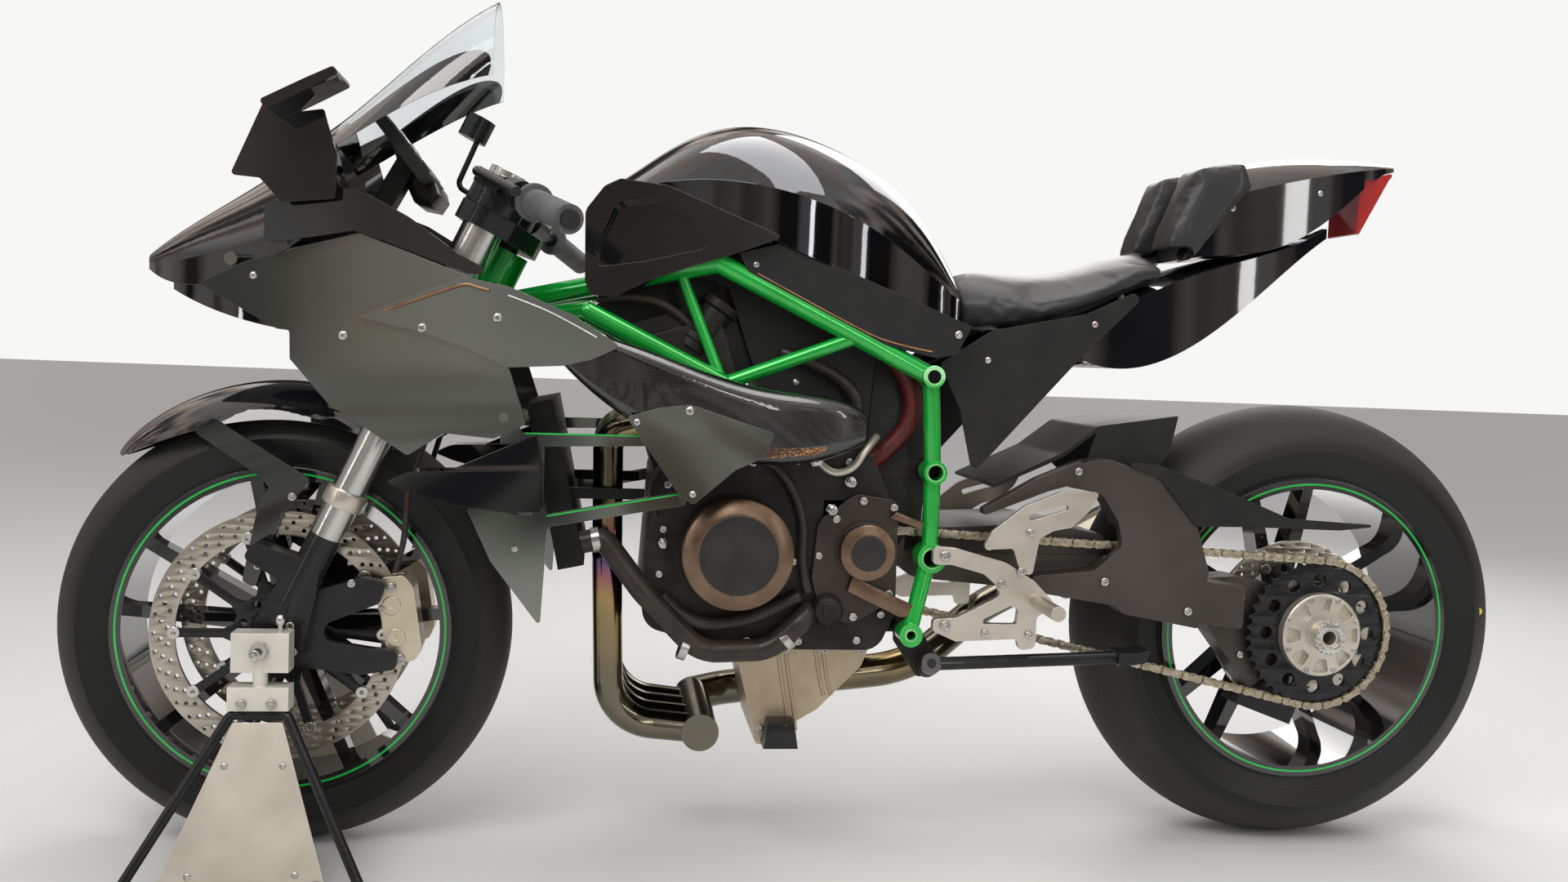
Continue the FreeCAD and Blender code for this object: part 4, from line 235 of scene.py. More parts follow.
# finishes: tones low and high, roughness range, metal, patch size, grain size and depth, clear coat, sheen,
# radius of the rounded edges and how much paler their edges are painted, a painted highlight;
# a finish takes what it leaves out from plainLook
plainLook = {"metal": 0.0, "patch": 30, "grain": 900, "depth": 0.0001, "coat": 0.0, "sheen": 0.5, "round": 0,
             "edgeHighlight": 0}
finishSettings = {
    "glossBlack": dict(low=(0.006, 0.006, 0.007), high=(0.008, 0.008, 0.009), rough=(0.04, 0.07), patch=5,
        depth=0.000002, coat=1.0, round=0.0008),
    "mirrorGrey": dict(low=(0.165, 0.175, 0.155), high=(0.215, 0.225, 0.2), rough=(0.05, 0.1), metal=0.85,
        patch=3, grain=1200, depth=0.000002, coat=0.5, round=0.0005),
    "tankChrome": dict(low=(0.045, 0.046, 0.05), high=(0.06, 0.061, 0.066), rough=(0.03, 0.05), metal=0.95,
        patch=4, grain=200, depth=0.00001, coat=0.6, round=0.0016),
    "mattBlack": dict(low=(0.014, 0.014, 0.014), high=(0.02, 0.0195, 0.019), rough=(0.36, 0.46), grain=1400,
        sheen=0.22, round=0.0012, edgeHighlight=0.35),
    "satinBlack": dict(low=(0.01, 0.01, 0.011), high=(0.016, 0.016, 0.017), rough=(0.22, 0.34), metal=0.2,
        depth=0.00005, coat=0.15, sheen=0.3, round=0.0012, edgeHighlight=0.3),
    "silverMetal": dict(low=(0.5, 0.5, 0.48), high=(0.62, 0.62, 0.6), rough=(0.18, 0.3), metal=1.0, patch=20,
        grain=700, depth=0.00004, round=0.0012, edgeHighlight=0.3),
    "ivoryMetal": dict(low=(0.6, 0.57, 0.49), high=(0.68, 0.65, 0.57), rough=(0.3, 0.42), metal=0.3,
        depth=0.00006, coat=0.1, round=0.0012, edgeHighlight=0.35),
    "beigeMetal": dict(low=(0.48, 0.44, 0.37), high=(0.55, 0.51, 0.43), rough=(0.32, 0.45), metal=0.55,
        patch=16, grain=600, depth=0.00004, round=0.0012, edgeHighlight=0.4),
    "gripRubber": dict(low=(0.085, 0.085, 0.087), high=(0.13, 0.13, 0.132), rough=(0.6, 0.8), patch=40,
        grain=500, depth=0.0004, sheen=0.2),
    "hoseRubber": dict(low=(0.02, 0.016, 0.013), high=(0.036, 0.029, 0.024), rough=(0.32, 0.45),
        coat=0.1, sheen=0.3),
    "champagne": dict(low=(0.55, 0.47, 0.34), high=(0.66, 0.58, 0.44), rough=(0.25, 0.36), metal=0.85,
        grain=1200, depth=0.00008, coat=0.1, round=0.0012, edgeHighlight=0.4),
    "discSteel": dict(low=(0.42, 0.38, 0.32), high=(0.52, 0.48, 0.41), rough=(0.24, 0.36), metal=1.0,
        patch=40, grain=300, depth=0.00003),
    "frameGreen": dict(low=(0.004, 0.36, 0.035), high=(0.008, 0.44, 0.05), rough=(0.16, 0.24), metal=0.3,
        patch=12, grain=700, depth=0.00005, coat=0.8, round=0.0012, edgeHighlight=0.25),
    "castDark": dict(low=(0.014, 0.0125, 0.011), high=(0.03, 0.026, 0.023), rough=(0.38, 0.55), metal=0.4,
        grain=700, depth=0.0003, sheen=0.3, round=0.0012, edgeHighlight=0.6),
    "bronzeBlack": dict(low=(0.04, 0.032, 0.026), high=(0.06, 0.048, 0.039), rough=(0.28, 0.38), metal=0.7,
        patch=14, grain=1500, round=0.0012, edgeHighlight=0.7),
    "champagnePan": dict(low=(0.4, 0.32, 0.22), high=(0.5, 0.41, 0.29), rough=(0.32, 0.45), metal=0.7,
        patch=20, grain=1200, depth=0.0002, round=0.0012, edgeHighlight=0.5),
    "radiatorBlack": dict(low=(0.01, 0.01, 0.01), high=(0.018, 0.018, 0.018), rough=(0.4, 0.55), metal=0.4,
        patch=40, grain=300, depth=0.0002, sheen=0.25),
    "armBronze": dict(low=(0.05, 0.043, 0.037), high=(0.07, 0.06, 0.052), rough=(0.36, 0.46), metal=0.5,
        patch=8, grain=1500, round=0.0012, edgeHighlight=0.6),
    "chainSteel": dict(low=(0.34, 0.29, 0.21), high=(0.5, 0.44, 0.34), rough=(0.28, 0.42), metal=0.95,
        patch=120, grain=500, depth=0.0002),
    "creamMetal": dict(low=(0.52, 0.47, 0.4), high=(0.62, 0.57, 0.49), rough=(0.26, 0.38), metal=0.8,
        patch=20, depth=0.00006, round=0.0012, edgeHighlight=0.4),
    "seatVinyl": dict(low=(0.018, 0.018, 0.019), high=(0.026, 0.026, 0.027), rough=(0.33, 0.42), patch=20,
        grain=1100, depth=0.0004, coat=0.1, sheen=0.35),
    "redLens": dict(low=(0.32, 0.004, 0.006), high=(0.42, 0.01, 0.01), rough=(0.08, 0.13), grain=60,
        depth=0.00001, coat=1.0, round=0.0016),
    "boltSteel": dict(low=(0.42, 0.41, 0.39), high=(0.6, 0.59, 0.57), rough=(0.2, 0.32), metal=1.0, patch=80),
    "stripeGreen": dict(low=(0.004, 0.4, 0.05), high=(0.008, 0.48, 0.07), rough=(0.2, 0.3), metal=0.1,
        patch=20, grain=700, depth=0.00003, coat=0.6),
    "cableRed": dict(low=(0.06, 0.003, 0.003), high=(0.11, 0.005, 0.005), rough=(0.4, 0.55), patch=60,
        grain=700, depth=0.0002),
    "copperTrim": dict(low=(0.34, 0.17, 0.08), high=(0.46, 0.25, 0.13), rough=(0.25, 0.35), metal=0.9,
        patch=60, grain=700),
    "paintedShadeBlack": dict(low=(0.002, 0.002, 0.002), high=(0.004, 0.004, 0.004), rough=(0.6, 0.8), patch=60,
        grain=700, depth=0.0002, sheen=0.1),
    "bronzeBevel": dict(low=(0.16, 0.105, 0.07), high=(0.22, 0.15, 0.105), rough=(0.24, 0.32),
        metal=0.95, grain=1500),
    "coverGrey": dict(low=(0.03, 0.028, 0.026), high=(0.042, 0.039, 0.036), rough=(0.34, 0.44), metal=0.4,
        grain=1500, sheen=0.3),
    "paleGreen": dict(low=(0.16, 0.46, 0.14), high=(0.3, 0.62, 0.26), rough=(0.2, 0.3), metal=0.3, patch=80,
        depth=0.00005, coat=0.5),
    "paintYellow": dict(low=(0.5, 0.42, 0.03), high=(0.62, 0.52, 0.05), rough=(0.5, 0.6), patch=200),
    "bronzeRing": dict(low=(0.2, 0.12, 0.07), high=(0.28, 0.17, 0.1), rough=(0.25, 0.34), metal=0.9, patch=40,
        depth=0.00006),
    "smokeGlass": dict(low=(0.01, 0.011, 0.012), high=(0.014, 0.015, 0.016), rough=(0.04, 0.08), patch=20,
        grain=200, depth=0.00001, coat=1.0, round=0.0016),
}
# how edges are found and how much paler they are painted, a painted highlight on edges
edgeLook = {"samples": 4, "reach": 1.2, "flat": 0.995, "sharp": 0.9, "gain": 2.6, "lift": 0.03}


def startFinish(name, inputs):
    finish = bpy.data.materials.new(name)
    finish.use_nodes = True
    finishes[name] = finish
    shader = finish.node_tree.nodes["Principled BSDF"]
    setInputs(shader, inputs)
    return finish.node_tree, shader


def addGrain(tree, shader, where, scale, depth, rounding=0):
    grain = addNode(tree, "TexNoise", {"Scale": scale, "Detail": 3, "Vector": where})
    bump = addNode(tree, "Bump", {"Distance": depth, "Height": grain})
    if rounding:
        soft = addNode(tree, "Bevel", {"Radius": rounding}, samples=edgeLook["samples"])
        setInputs(bump.node, {"Normal": soft})
    setInputs(shader, {"Normal": bump})
    return bump


def paintEdgeHighlights(tree, tones, look):
    # painted highlight: edges painted paler where the rounded normal leaves the flat one
    flat = addNode(tree, "NewGeometry", {}, "Normal")
    soft = addNode(tree, "Bevel", {"Radius": look["round"] * edgeLook["reach"]}, samples=edgeLook["samples"])
    meet = addNode(tree, "VectorMath", {0: flat, 1: soft}, "Value", operation="DOT_PRODUCT")
    edge = addNode(tree, "MapRange", {"From Min": edgeLook["flat"], "From Max": edgeLook["sharp"],
                                      "To Max": look["edgeHighlight"], "Value": meet})
    pale = [min(1.0, tone * edgeLook["gain"] + edgeLook["lift"]) for tone in look["high"]]
    return addNode(tree, "MixRGB", {"Fac": edge, "Color1": tones, "Color2": (*pale, 1)})


def makeFinish(name, look):
    tree, shader = startFinish(name, {"Metallic": look["metal"], "Coat Weight": look["coat"],
                                      "Coat Roughness": 0.03, "Specular IOR Level": look["sheen"]})
    where = objectPlace(tree)
    patches = addNode(tree, "TexNoise", {"Scale": look["patch"], "Detail": 6, "Vector": where})
    tones = addRamp(tree, [(0.35, look["low"]), (0.68, look["high"])], patches)
    rough = addNode(tree, "MapRange", {"To Min": look["rough"][0], "To Max": look["rough"][1],
                                       "Value": patches})
    addGrain(tree, shader, where, look["grain"], look["depth"], look["round"])
    # edges painted paler: a painted highlight
    if look["edgeHighlight"]:
        tones = paintEdgeHighlights(tree, tones, look)
    setInputs(shader, {"Base Color": tones, "Roughness": rough})


for finishName, finishLook in finishSettings.items():
    makeFinish(finishName, {**plainLook, **finishLook})
screenLook = {"edge": 0.098, "frontBand": -0.672}  # where the black border starts: half width, front


def makeScreen():
    # clear sheet with a black printed border along its sides and its front
    tree, shader = startFinish("screenClear", {"Base Color": (0.88, 0.91, 0.92, 1), "Roughness": 0.03,
                                               "Transmission Weight": 0.9, "IOR": 1.25})
    border = addNode(tree, "BsdfPrincipled", {"Base Color": (0.008, 0.008, 0.009, 1), "Roughness": 0.08,
                                              "Coat Weight": 1.0})
    apart = addNode(tree, "SeparateXYZ", {0: objectPlace(tree)}).node.outputs
    wide = addNode(tree, "Math", {0: apart["Y"]}, operation="ABSOLUTE")
    side = addNode(tree, "Math", {0: wide, 1: screenLook["edge"]}, operation="GREATER_THAN")
    low = addNode(tree, "Math", {0: apart["X"], 1: screenLook["frontBand"]}, operation="LESS_THAN")
    band = addNode(tree, "Math", {0: side, 1: low}, operation="MAXIMUM")
    mix = addNode(tree, "MixShader", {"Fac": band, 1: shader.outputs[0], 2: border})
    setInputs(tree.nodes["Material Output"], {"Surface": mix})


titaniumTints = [(0.34, (0.15, 0.145, 0.12)), (0.5, (0.19, 0.165, 0.11)), (0.575, (0.32, 0.23, 0.1)),
                 (0.605, (0.26, 0.1, 0.12)), (0.63, (0.05, 0.07, 0.24)), (0.66, (0.16, 0.17, 0.15))]


def makeTitanium():
    # heat tints run gold, purple and blue along the pipes towards the ports
    tree, shader = startFinish("titanium", {"Metallic": 1.0, "Roughness": 0.14})
    where = objectPlace(tree)
    bands = addNode(tree, "TexNoise", {"Scale": 3.4, "Detail": 2, "Distortion": 0.3, "Vector": where})
    setInputs(shader, {"Base Color": addRamp(tree, titaniumTints, bands)})
    addGrain(tree, shader, where, 500, 0.00005)


def makeCarbon():
    # two by two twill under clear lacquer
    tree, shader = startFinish("carbonTwill", {"Roughness": 0.25, "Coat Weight": 1.0, "Coat Roughness": 0.03})
    where = objectPlace(tree)
    turn = addNode(tree, "Mapping", {"Rotation": (0, math.radians(45), 0), "Vector": where})
    cloth = addNode(tree, "TexChecker", {"Scale": 330, "Color1": (0.003, 0.003, 0.003, 1),
                                         "Color2": (0.011, 0.011, 0.011, 1), "Vector": turn})
    setInputs(shader, {"Base Color": cloth})
    addGrain(tree, shader, where, 400, 0.00003)


def makeTyre(name, axle, treadFrom):
    # satin sidewall with fine moulded rings, duller tread beyond the shoulder
    tree, shader = startFinish(name, {"Specular IOR Level": 0.3})
    where = objectPlace(tree)
    centre = addNode(tree, "Mapping", {"Location": (-axle[0], 0, -axle[1]), "Scale": (1, 0, 1),
                                       "Vector": where})
    reach = addNode(tree, "VectorMath", {0: centre}, "Value", operation="LENGTH")
    zone = addNode(tree, "MapRange", {"From Min": treadFrom - 0.02, "From Max": treadFrom, "Value": reach})
    tones = addRamp(tree, [(0.0, (0.008, 0.008, 0.008)), (1.0, (0.028, 0.027, 0.026))], zone)
    rough = addNode(tree, "MapRange", {"To Min": 0.38, "To Max": 0.62, "Value": zone})
    rings = addNode(tree, "Math", {0: reach, 1: 1400}, operation="MULTIPLY")
    wave = addNode(tree, "Math", {0: rings}, operation="SINE")
    bump = addGrain(tree, shader, where, 600, 0.00025)
    lines = addNode(tree, "Bump", {"Distance": 0.00006, "Height": wave, "Normal": bump})
    setInputs(shader, {"Base Color": tones, "Roughness": rough, "Normal": lines})


makeScreen()
makeTitanium()
makeCarbon()
makeTyre("frontTyreRubber", axles["front"], 0.278)
makeTyre("rearTyreRubber", axles["rear"], 0.29)
nodeFinish = {
    "satinBlack": "stand_frames fork_inner_tubes triple_clamps handlebars controls rear_caliper "
        "rear_sprocket side_stand",
    "beigeMetal": "stand_plates",
    "ivoryMetal": "stand_clamps",
    "silverMetal": "front_axle fork_outer_tubes",
    "gripRubber": "grips",
    "glossBlack": "front_fender front_rim nose_cowl winglets tail_cowl subframe rear_rim",
    "champagne": "front_calipers",
    "hoseRubber": "brake_hoses coolant_hose",
    "frontTyreRubber": "front_tyre",
    "discSteel": "front_discs rear_disc",
    "frameGreen": "frame",
    "castDark": "engine_block",
    "bronzeBlack": "engine_covers",
    "champagnePan": "oil_pan",
    "mattBlack": "intake_chamber instrument_panel side_covers rear_guards",
    "titanium": "exhaust_headers silencer",
    "radiatorBlack": "radiator",
    "screenClear": "windscreen",
    "mirrorGrey": "side_fairings lower_panels",
    "carbonTwill": "air_duct",
    "tankChrome": "fuel_tank intake_scoops",
    "seatVinyl": "seat hip_pads",
    "redLens": "tail_light",
    "armBronze": "swingarm",
    "chainSteel": "chain",
    "creamMetal": "footrests rear_spindle",
    "rearTyreRubber": "rear_tyre",
}
for finishName, nodeNames in nodeFinish.items():
    for nodeName in nodeNames.split():
        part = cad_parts[nodeName]
        part.data.materials.clear()
        part.data.materials.append(finishes[finishName])
print("frame finished in", len(finishes), "finishes")


# sculpting helpers
def applyModifier(piece, kind, **values):
    pick(piece)
    item = piece.modifiers.new(kind.title(), kind)
    for key, value in values.items():
        setattr(item, key, value)
    bpy.ops.object.modifier_apply(modifier=item.name)


def twinOf(source):
    # the copy's mesh is its own
    twin = source.copy()
    twin.data = source.data.copy()
    bpy.context.collection.objects.link(twin)
    return twin


def mergePoints(piece, distance=0.00005):
    pick(piece)
    bpy.ops.object.mode_set(mode="EDIT")
    bpy.ops.mesh.select_all(action="SELECT")
    bpy.ops.mesh.remove_doubles(threshold=distance)
    bpy.ops.mesh.normals_make_consistent(inside=False)
    bpy.ops.object.mode_set(mode="OBJECT")


def joinAll(pieces):
    clearSelection()
    for piece in pieces:
        piece.select_set(True)
    bpy.context.view_layer.objects.active = pieces[0]
    if len(pieces) > 1:
        bpy.ops.object.join()
    return pieces[0]


def aim(piece, spot, way, scale=1.0, spin=0.0):
    # the piece's Z along the way, its foot on the spot
    turn = Vector(way).to_track_quat("Z", "Y").to_matrix().to_4x4() @ Matrix.Rotation(spin, 4, "Z")
    piece.matrix_world = Matrix.Translation(Vector(spot)) @ turn @ Matrix.Scale(scale, 4)
    return piece


def placeEach(source, places):
    # a modelled piece copied to each place (spot, way, scale) and dropped itself
    made = [aim(twinOf(source), *place) for place in places]
    drop(source)
    return joinAll(made)


def drop(piece):
    bpy.data.objects.remove(piece, do_unlink=True)


def standUp(piece, spot, side=-1, spin=0.0):
    # local XY becomes the machine's XZ plane, and Z points out of the given side
    upright = Matrix.Rotation(math.radians(-90 * side), 4, "X") @ Matrix.Rotation(spin, 4, "Z")
    piece.matrix_world = Matrix.Translation(spot) @ upright
    return piece


def lathe(name, profile, steps=48):
    # a closed profile (radius, height) turned about Z
    mesh = bpy.data.meshes.new(name)
    rows = len(profile)
    points = []
    faces = []
    for step in range(steps):
        angle = 2 * math.pi * step / steps
        points += [(r * math.cos(angle), r * math.sin(angle), z) for r, z in profile]
        here, ahead = step * rows, (step + 1) % steps * rows
        for row in range(rows):
            after = (row + 1) % rows
            faces.append((here + row, here + after, ahead + after, ahead + row))
    mesh.from_pydata(points, [], faces)
    piece = bpy.data.objects.new(name, mesh)
    bpy.context.collection.objects.link(piece)
    mergePoints(piece)
    return piece


def fromCurve(name, curve, lines, kind, resolution):
    # the curve's lines, made a mesh
    curve.resolution_u = resolution
    for line in lines:
        spline = curve.splines.new(kind)
        spline.points.add(len(line) - 1)
        for point, spot in zip(spline.points, line):
            point.co = (*spot, 1)
        if kind == "NURBS":
            spline.order_u = 3
            spline.use_endpoint_u = True
        else:
            spline.use_cyclic_u = True
    piece = bpy.data.objects.new(name, curve)
    bpy.context.collection.objects.link(piece)
    pick(piece)
    bpy.ops.object.convert(target="MESH")
    mergePoints(piece)
    return piece


def ringProfile(inner, outer, low, high, chamfer):
    return [(inner, low), (outer, low), (outer - chamfer, high), (inner + chamfer, high)]


def plateOf(name, outlines, depth, bevel=0.0006):
    # a flat plate in its own XY plane from closed outlines: the first is the rim, the rest are holes
    curve = bpy.data.curves.new(name, "CURVE")
    curve.dimensions = "2D"
    curve.fill_mode = "BOTH"
    curve.extrude = depth / 2
    curve.bevel_depth = bevel
    curve.offset = -bevel
    curve.bevel_resolution = 1
    return fromCurve(name, curve, [[(x, y, 0) for x, y in outline] for outline in outlines], "POLY", 6)


def cable(name, radius, finish, points, body="chassis"):
    # a held tube on a smooth line
    curve = bpy.data.curves.new(name, "CURVE")
    curve.dimensions = "3D"
    curve.bevel_depth = radius
    curve.bevel_resolution = 4
    curve.use_fill_caps = True
    return settle(fromCurve(name, curve, [points], "NURBS", 10), name, body, finish, 60)


def polar(radius, angle):
    return radius * math.cos(angle), radius * math.sin(angle)


def ringOf(count, share=0.0):
    # angles evenly around a circle, started part of a step on
    return [2 * math.pi * (k + share) / count for k in range(count)]


def circle(radius, count=24, middle=(0, 0)):
    return [(middle[0] + radius * math.cos(angle), middle[1] + radius * math.sin(angle))
            for angle in ringOf(count)]


def onSurface(nodeName, spot, way):
    # the first point of a CAD node met from the spot along the way
    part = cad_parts[nodeName]
    inward = part.matrix_world.inverted()
    heading = (inward.to_3x3() @ Vector(way)).normalized()
    found, point = part.ray_cast(inward @ Vector(spot), heading)[:2]
    return part.matrix_world @ point if found else None


# fasteners, modelled once
screwKinds = {
    "bolt": lathe("boltSource", [(0.0, 0.0), (1.0, 0.0), (1.0, 0.68), (0.93, 0.82), (0.82, 0.88), (0.6, 0.88),
                                 (0.56, 0.84), (0.54, 0.4), (0.0, 0.36)], 32),
    "dome": lathe("domeSource", [(0.0, 0.0), (1.0, 0.0), (0.98, 0.16), (0.86, 0.36), (0.62, 0.5),
                                 (0.42, 0.54), (0.4, 0.3), (0.0, 0.28)], 32),
    "cap": lathe("capSource", [(0.0, 0.0), (1.0, 0.0), (1.0, 0.08), (0.92, 0.15), (0.3, 0.15), (0.26, 0.11),
                               (0.0, 0.11)], 40),
}
seekFrom = 0.6  # how far out the search for a seat starts


def boltRow(name, node, spots, body="chassis", finish="boltSteel", side=-1, kind="bolt", sink=0.0003):
    # spots: (x, z, radius); each head sits on the node where a line across the machine meets it
    way = Vector((0, side, 0))
    made = []
    for x, z, radius in spots:
        seat = onSurface(node, (x, side * seekFrom, z), -way)
        if seat is None:
            print("no seat for", name, x, z)
        else:
            made.append(aim(twinOf(screwKinds[kind]), seat - way * sink, way, radius, x * 40))
    if made:
        settle(joinAll(made), name, body, finish)


def bothSides(name, node, spots, **options):
    for side, word in sides:
        boltRow(name + word, node, spots, side=side, **options)


# seat and hip pads: the solids' forms, rounded, swollen like foam under vinyl
padSettings = {
    "seat": {"voxel": 0.005, "round": 5, "pressure": 4.0, "cap": 0.006, "shrink": 0.003, "fill": 0.8},
    "hip_pads": {"voxel": 0.0045, "round": 6, "pressure": 4.0, "cap": 0.006, "shrink": 0.003, "fill": 0.9},
}


def swell(pad, look, lastFrame=20):
    scene = bpy.context.scene
    rest = [vertex.co.copy() for vertex in pad.data.vertices]
    pick(pad)
    foam = pad.modifiers.new("Foam", "CLOTH")
    foam.settings.use_pressure = True
    foam.settings.uniform_pressure_force = look["pressure"]
    foam.settings.effector_weights.gravity = 0
    foam.settings.quality = 5
    foam.point_cache.frame_start = 1
    foam.point_cache.frame_end = lastFrame
    for step in range(1, lastFrame + 1):
        scene.frame_set(step)
    bpy.ops.object.modifier_apply(modifier=foam.name)
    scene.frame_set(1)
    for vertex, start in zip(pad.data.vertices, rest):
        move = vertex.co - start
        if move.length > look["cap"]:
            vertex.co = start + move.normalized() * look["cap"]


def makePad(nodeName, name):
    look = padSettings[nodeName]
    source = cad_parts[nodeName]
    pad = twinOf(source)
    pad.parent = None
    pad.matrix_world = source.matrix_world.copy()
    pad.hide_render = False
    applyPlace(pad)
    mergePoints(pad)
    applyModifier(pad, "REMESH", mode="VOXEL", voxel_size=look["voxel"], use_smooth_shade=True)
    applyModifier(pad, "SMOOTH", factor=0.5, iterations=look["round"])
    applyModifier(pad, "DISPLACE", strength=-look["shrink"], mid_level=0.0)
    swell(pad, look)
    applyModifier(pad, "SMOOTH", factor=0.4, iterations=2)
    applyModifier(pad, "SUBSURF", levels=1, render_levels=1)
    settle(pad, name, "chassis", "seatVinyl", 60)
    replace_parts(pad, nodeName)


makePad("seat", "seatPad")
makePad("hip_pads", "hipBolsters")
print("pads done")

# brake discs, drilled in rows: band, carrier with arms, and bobbins that hold the band
discSettings = {
    "front": {"outer": 0.165, "inner": 0.1325, "planes": (-0.068, 0.068), "node": "front_discs",
              "rows": ((0.1585, 0.0024), (0.15, 0.0028), (0.1415, 0.0028)), "count": 40,
              "hub": 0.037, "ring": 0.06, "arms": 10, "armWidth": 0.012,
              "names": ("frontBrakeBands", "frontDiscCarriers", "frontDiscBobbins")},
    "rear": {"outer": 0.125, "inner": 0.092, "planes": (-0.042,), "node": "rear_disc",
             "rows": ((0.119, 0.0024), (0.11, 0.0028), (0.1005, 0.0028)), "count": 32,
             "hub": 0.0505, "ring": 0.066, "arms": 6, "armWidth": 0.016,
             "names": ("rearBrakeBand", "rearDiscCarrier", "rearDiscBobbins")},
}
bobbinSource = lathe("bobbinSource", [(0.0028, 0.0), (0.0078, 0.0), (0.0082, 0.0006), (0.0082, 0.002),
                                      (0.0064, 0.0024), (0.0064, 0.0072), (0.0082, 0.0076), (0.0082, 0.009),
                                      (0.0078, 0.0096), (0.0028, 0.0096)], 24)


def discBand(look, spot):
    outlines = [circle(look["outer"], 120), circle(look["inner"], 110)]
    for row, (radius, hole) in enumerate(look["rows"]):
        outlines += [circle(hole, 10, polar(radius, angle)) for angle in ringOf(look["count"], 0.33 * row)]
    return standUp(plateOf("band", outlines, 0.0043, 0.0005), spot)


def discCarrier(look, spot):
    ring, reach = look["ring"], look["inner"] - 0.001
    half = math.asin(look["armWidth"] / 2 / reach)
    root = math.pi / look["arms"] * 0.62
    outline = []
    for angle in ringOf(look["arms"]):
        outline += [polar(ring, angle - root), polar(ring + 0.012, angle - half * 1.8),
                    polar(reach, angle - half), polar(reach, angle + half),
                    polar(ring + 0.012, angle + half * 1.8), polar(ring, angle + root)]
    holes = [circle(0.0052, 16, polar(ring * 0.8, angle)) for angle in ringOf(look["arms"], 0.5)]
    return standUp(plateOf("carrier", [outline, circle(look["hub"], 60)] + holes, 0.0046, 0.0007), spot)


def bobbins(look, spot):
    x, plane, z = spot
    made = []
    for angle in ringOf(look["arms"]):
        across, up = polar(look["inner"] + 0.001, angle)
        made.append(aim(twinOf(bobbinSource), (x + across, plane + 0.0048, z + up), (0, -1, 0)))
    return joinAll(made)


for wheel, look in discSettings.items():
    x, z = axles[wheel]
    made = [[build(look, (x, plane, z)) for plane in look["planes"]]
            for build in (discBand, discCarrier, bobbins)]
    finishNames = (("discSteel", "disc_steel"), ("satinBlack", "black_metal"),
                   ("silverMetal", "silver_metal"))
    for pieces, name, (finish, slot) in zip(made, look["names"], finishNames):
        settle(joinAll(pieces), name, wheel + "_wheel", finish)
    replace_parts(made[0][0], look["node"])
drop(bobbinSource)
print("discs done")

# chain of inner and outer links on its loop
chainSettings = {
    "front": (0.04, 0.418), "small": 0.0457, "large": 0.1062, "plane": -0.112, "pitch": 0.015875,
    "plate": 0.0016, "height": 0.0135, "roller": 0.005, "inner": 0.005, "outer": 0.0074,
}


def chainPath(look):
    # pin places on the loop, evenly spaced
    small, large = look["small"], look["large"]
    ends = [Vector(look["front"]), Vector(axles["rear"])]
    way = Vector((axles["rear"][0] - look["front"][0], axles["rear"][1] - look["front"][1]))
    tilt = math.atan2(way.y, way.x)
    lean = math.asin((large - small) / way.length)
    straight = math.sqrt(way.length ** 2 - (large - small) ** 2)
    wrapLarge = large * (math.pi + 2 * lean)
    total = 2 * straight + wrapLarge + small * (math.pi - 2 * lean)
    count = 2 * round(total / look["pitch"] / 2)
    up, down = tilt + math.pi / 2 + lean, tilt - math.pi / 2 - lean
    spots = []
    for index in range(count):
        run = total * index / count
        if run < straight:
            spot = ends[0] + Vector(polar(small, up)) + Vector(polar(run, up - math.pi / 2))
        elif run < straight + wrapLarge:
            spot = ends[1] + Vector(polar(large, up - (run - straight) / large))
        elif run < 2 * straight + wrapLarge:
            back = run - straight - wrapLarge
            spot = ends[1] + Vector(polar(large, down)) + Vector(polar(back, down - math.pi / 2))
        else:
            spot = ends[0] + Vector(polar(small, down - (run - 2 * straight - wrapLarge) / small))
        spots.append(spot)
    return spots


def linkPlate(look, shift):
    # two eyes joined by a waist
    pitch, radius = look["pitch"], look["height"] / 2
    waist = radius * 0.62
    left = [polar(radius, math.radians(angle)) for angle in (125, 155, 180, 205, 235)]
    right = [(pitch - x, y) for x, y in reversed(left)]
    under = [(pitch * 0.33, -waist * 1.12), (pitch / 2, -waist), (pitch * 0.67, -waist * 1.12)]
    over = [(x, -y) for x, y in reversed(under)]
    piece = plateOf("link", [left + under + right + over], look["plate"] - 0.0005, 0.00025)
    piece.data.transform(Matrix.Translation((0, 0, shift)))
    return piece


def buildChain(look):
    spots = chainPath(look)
    links = [joinAll([linkPlate(look, reach), linkPlate(look, -reach)])
             for reach in (look["inner"], look["outer"])]
    pin = lathe("pinSource", [(0.0, -0.0094), (0.0022, -0.0094), (0.0026, -0.009), (0.0026, 0.009),
                              (0.0022, 0.0094), (0.0, 0.0094)], 12)
    roller = lathe("rollerSource", [(0.0028, -0.004), (look["roller"], -0.004), (look["roller"], 0.004),
                                    (0.0028, 0.004)], 14)
    made = []
    for index, spot in enumerate(spots):
        ahead = spots[(index + 1) % len(spots)] - spot
        for source in (links[index % 2], pin, roller):
            at = (spot.x, look["plane"], spot.y)
            made.append(standUp(twinOf(source), at, spin=math.atan2(ahead.y, ahead.x)))
    for source in (*links, pin, roller):
        drop(source)
    return joinAll(made)


driveChain = settle(buildChain(chainSettings), "driveChain", "chassis", "chainSteel")
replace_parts(driveChain, "chain")

# toothed wheel sprocket
sprocketSettings = {"teeth": 42, "radius": 0.1062, "roller": 0.0052, "bore": 0.0302, "thick": 0.0054,
                    "holes": 12, "holeRing": 0.078, "holeRadius": 0.0095}


def toothed(teeth, marks):
    # the marks (share of a step, radius) repeated around a wheel
    return [polar(radius, angle + share * (2 * math.pi / teeth))
            for angle in ringOf(teeth) for share, radius in marks]


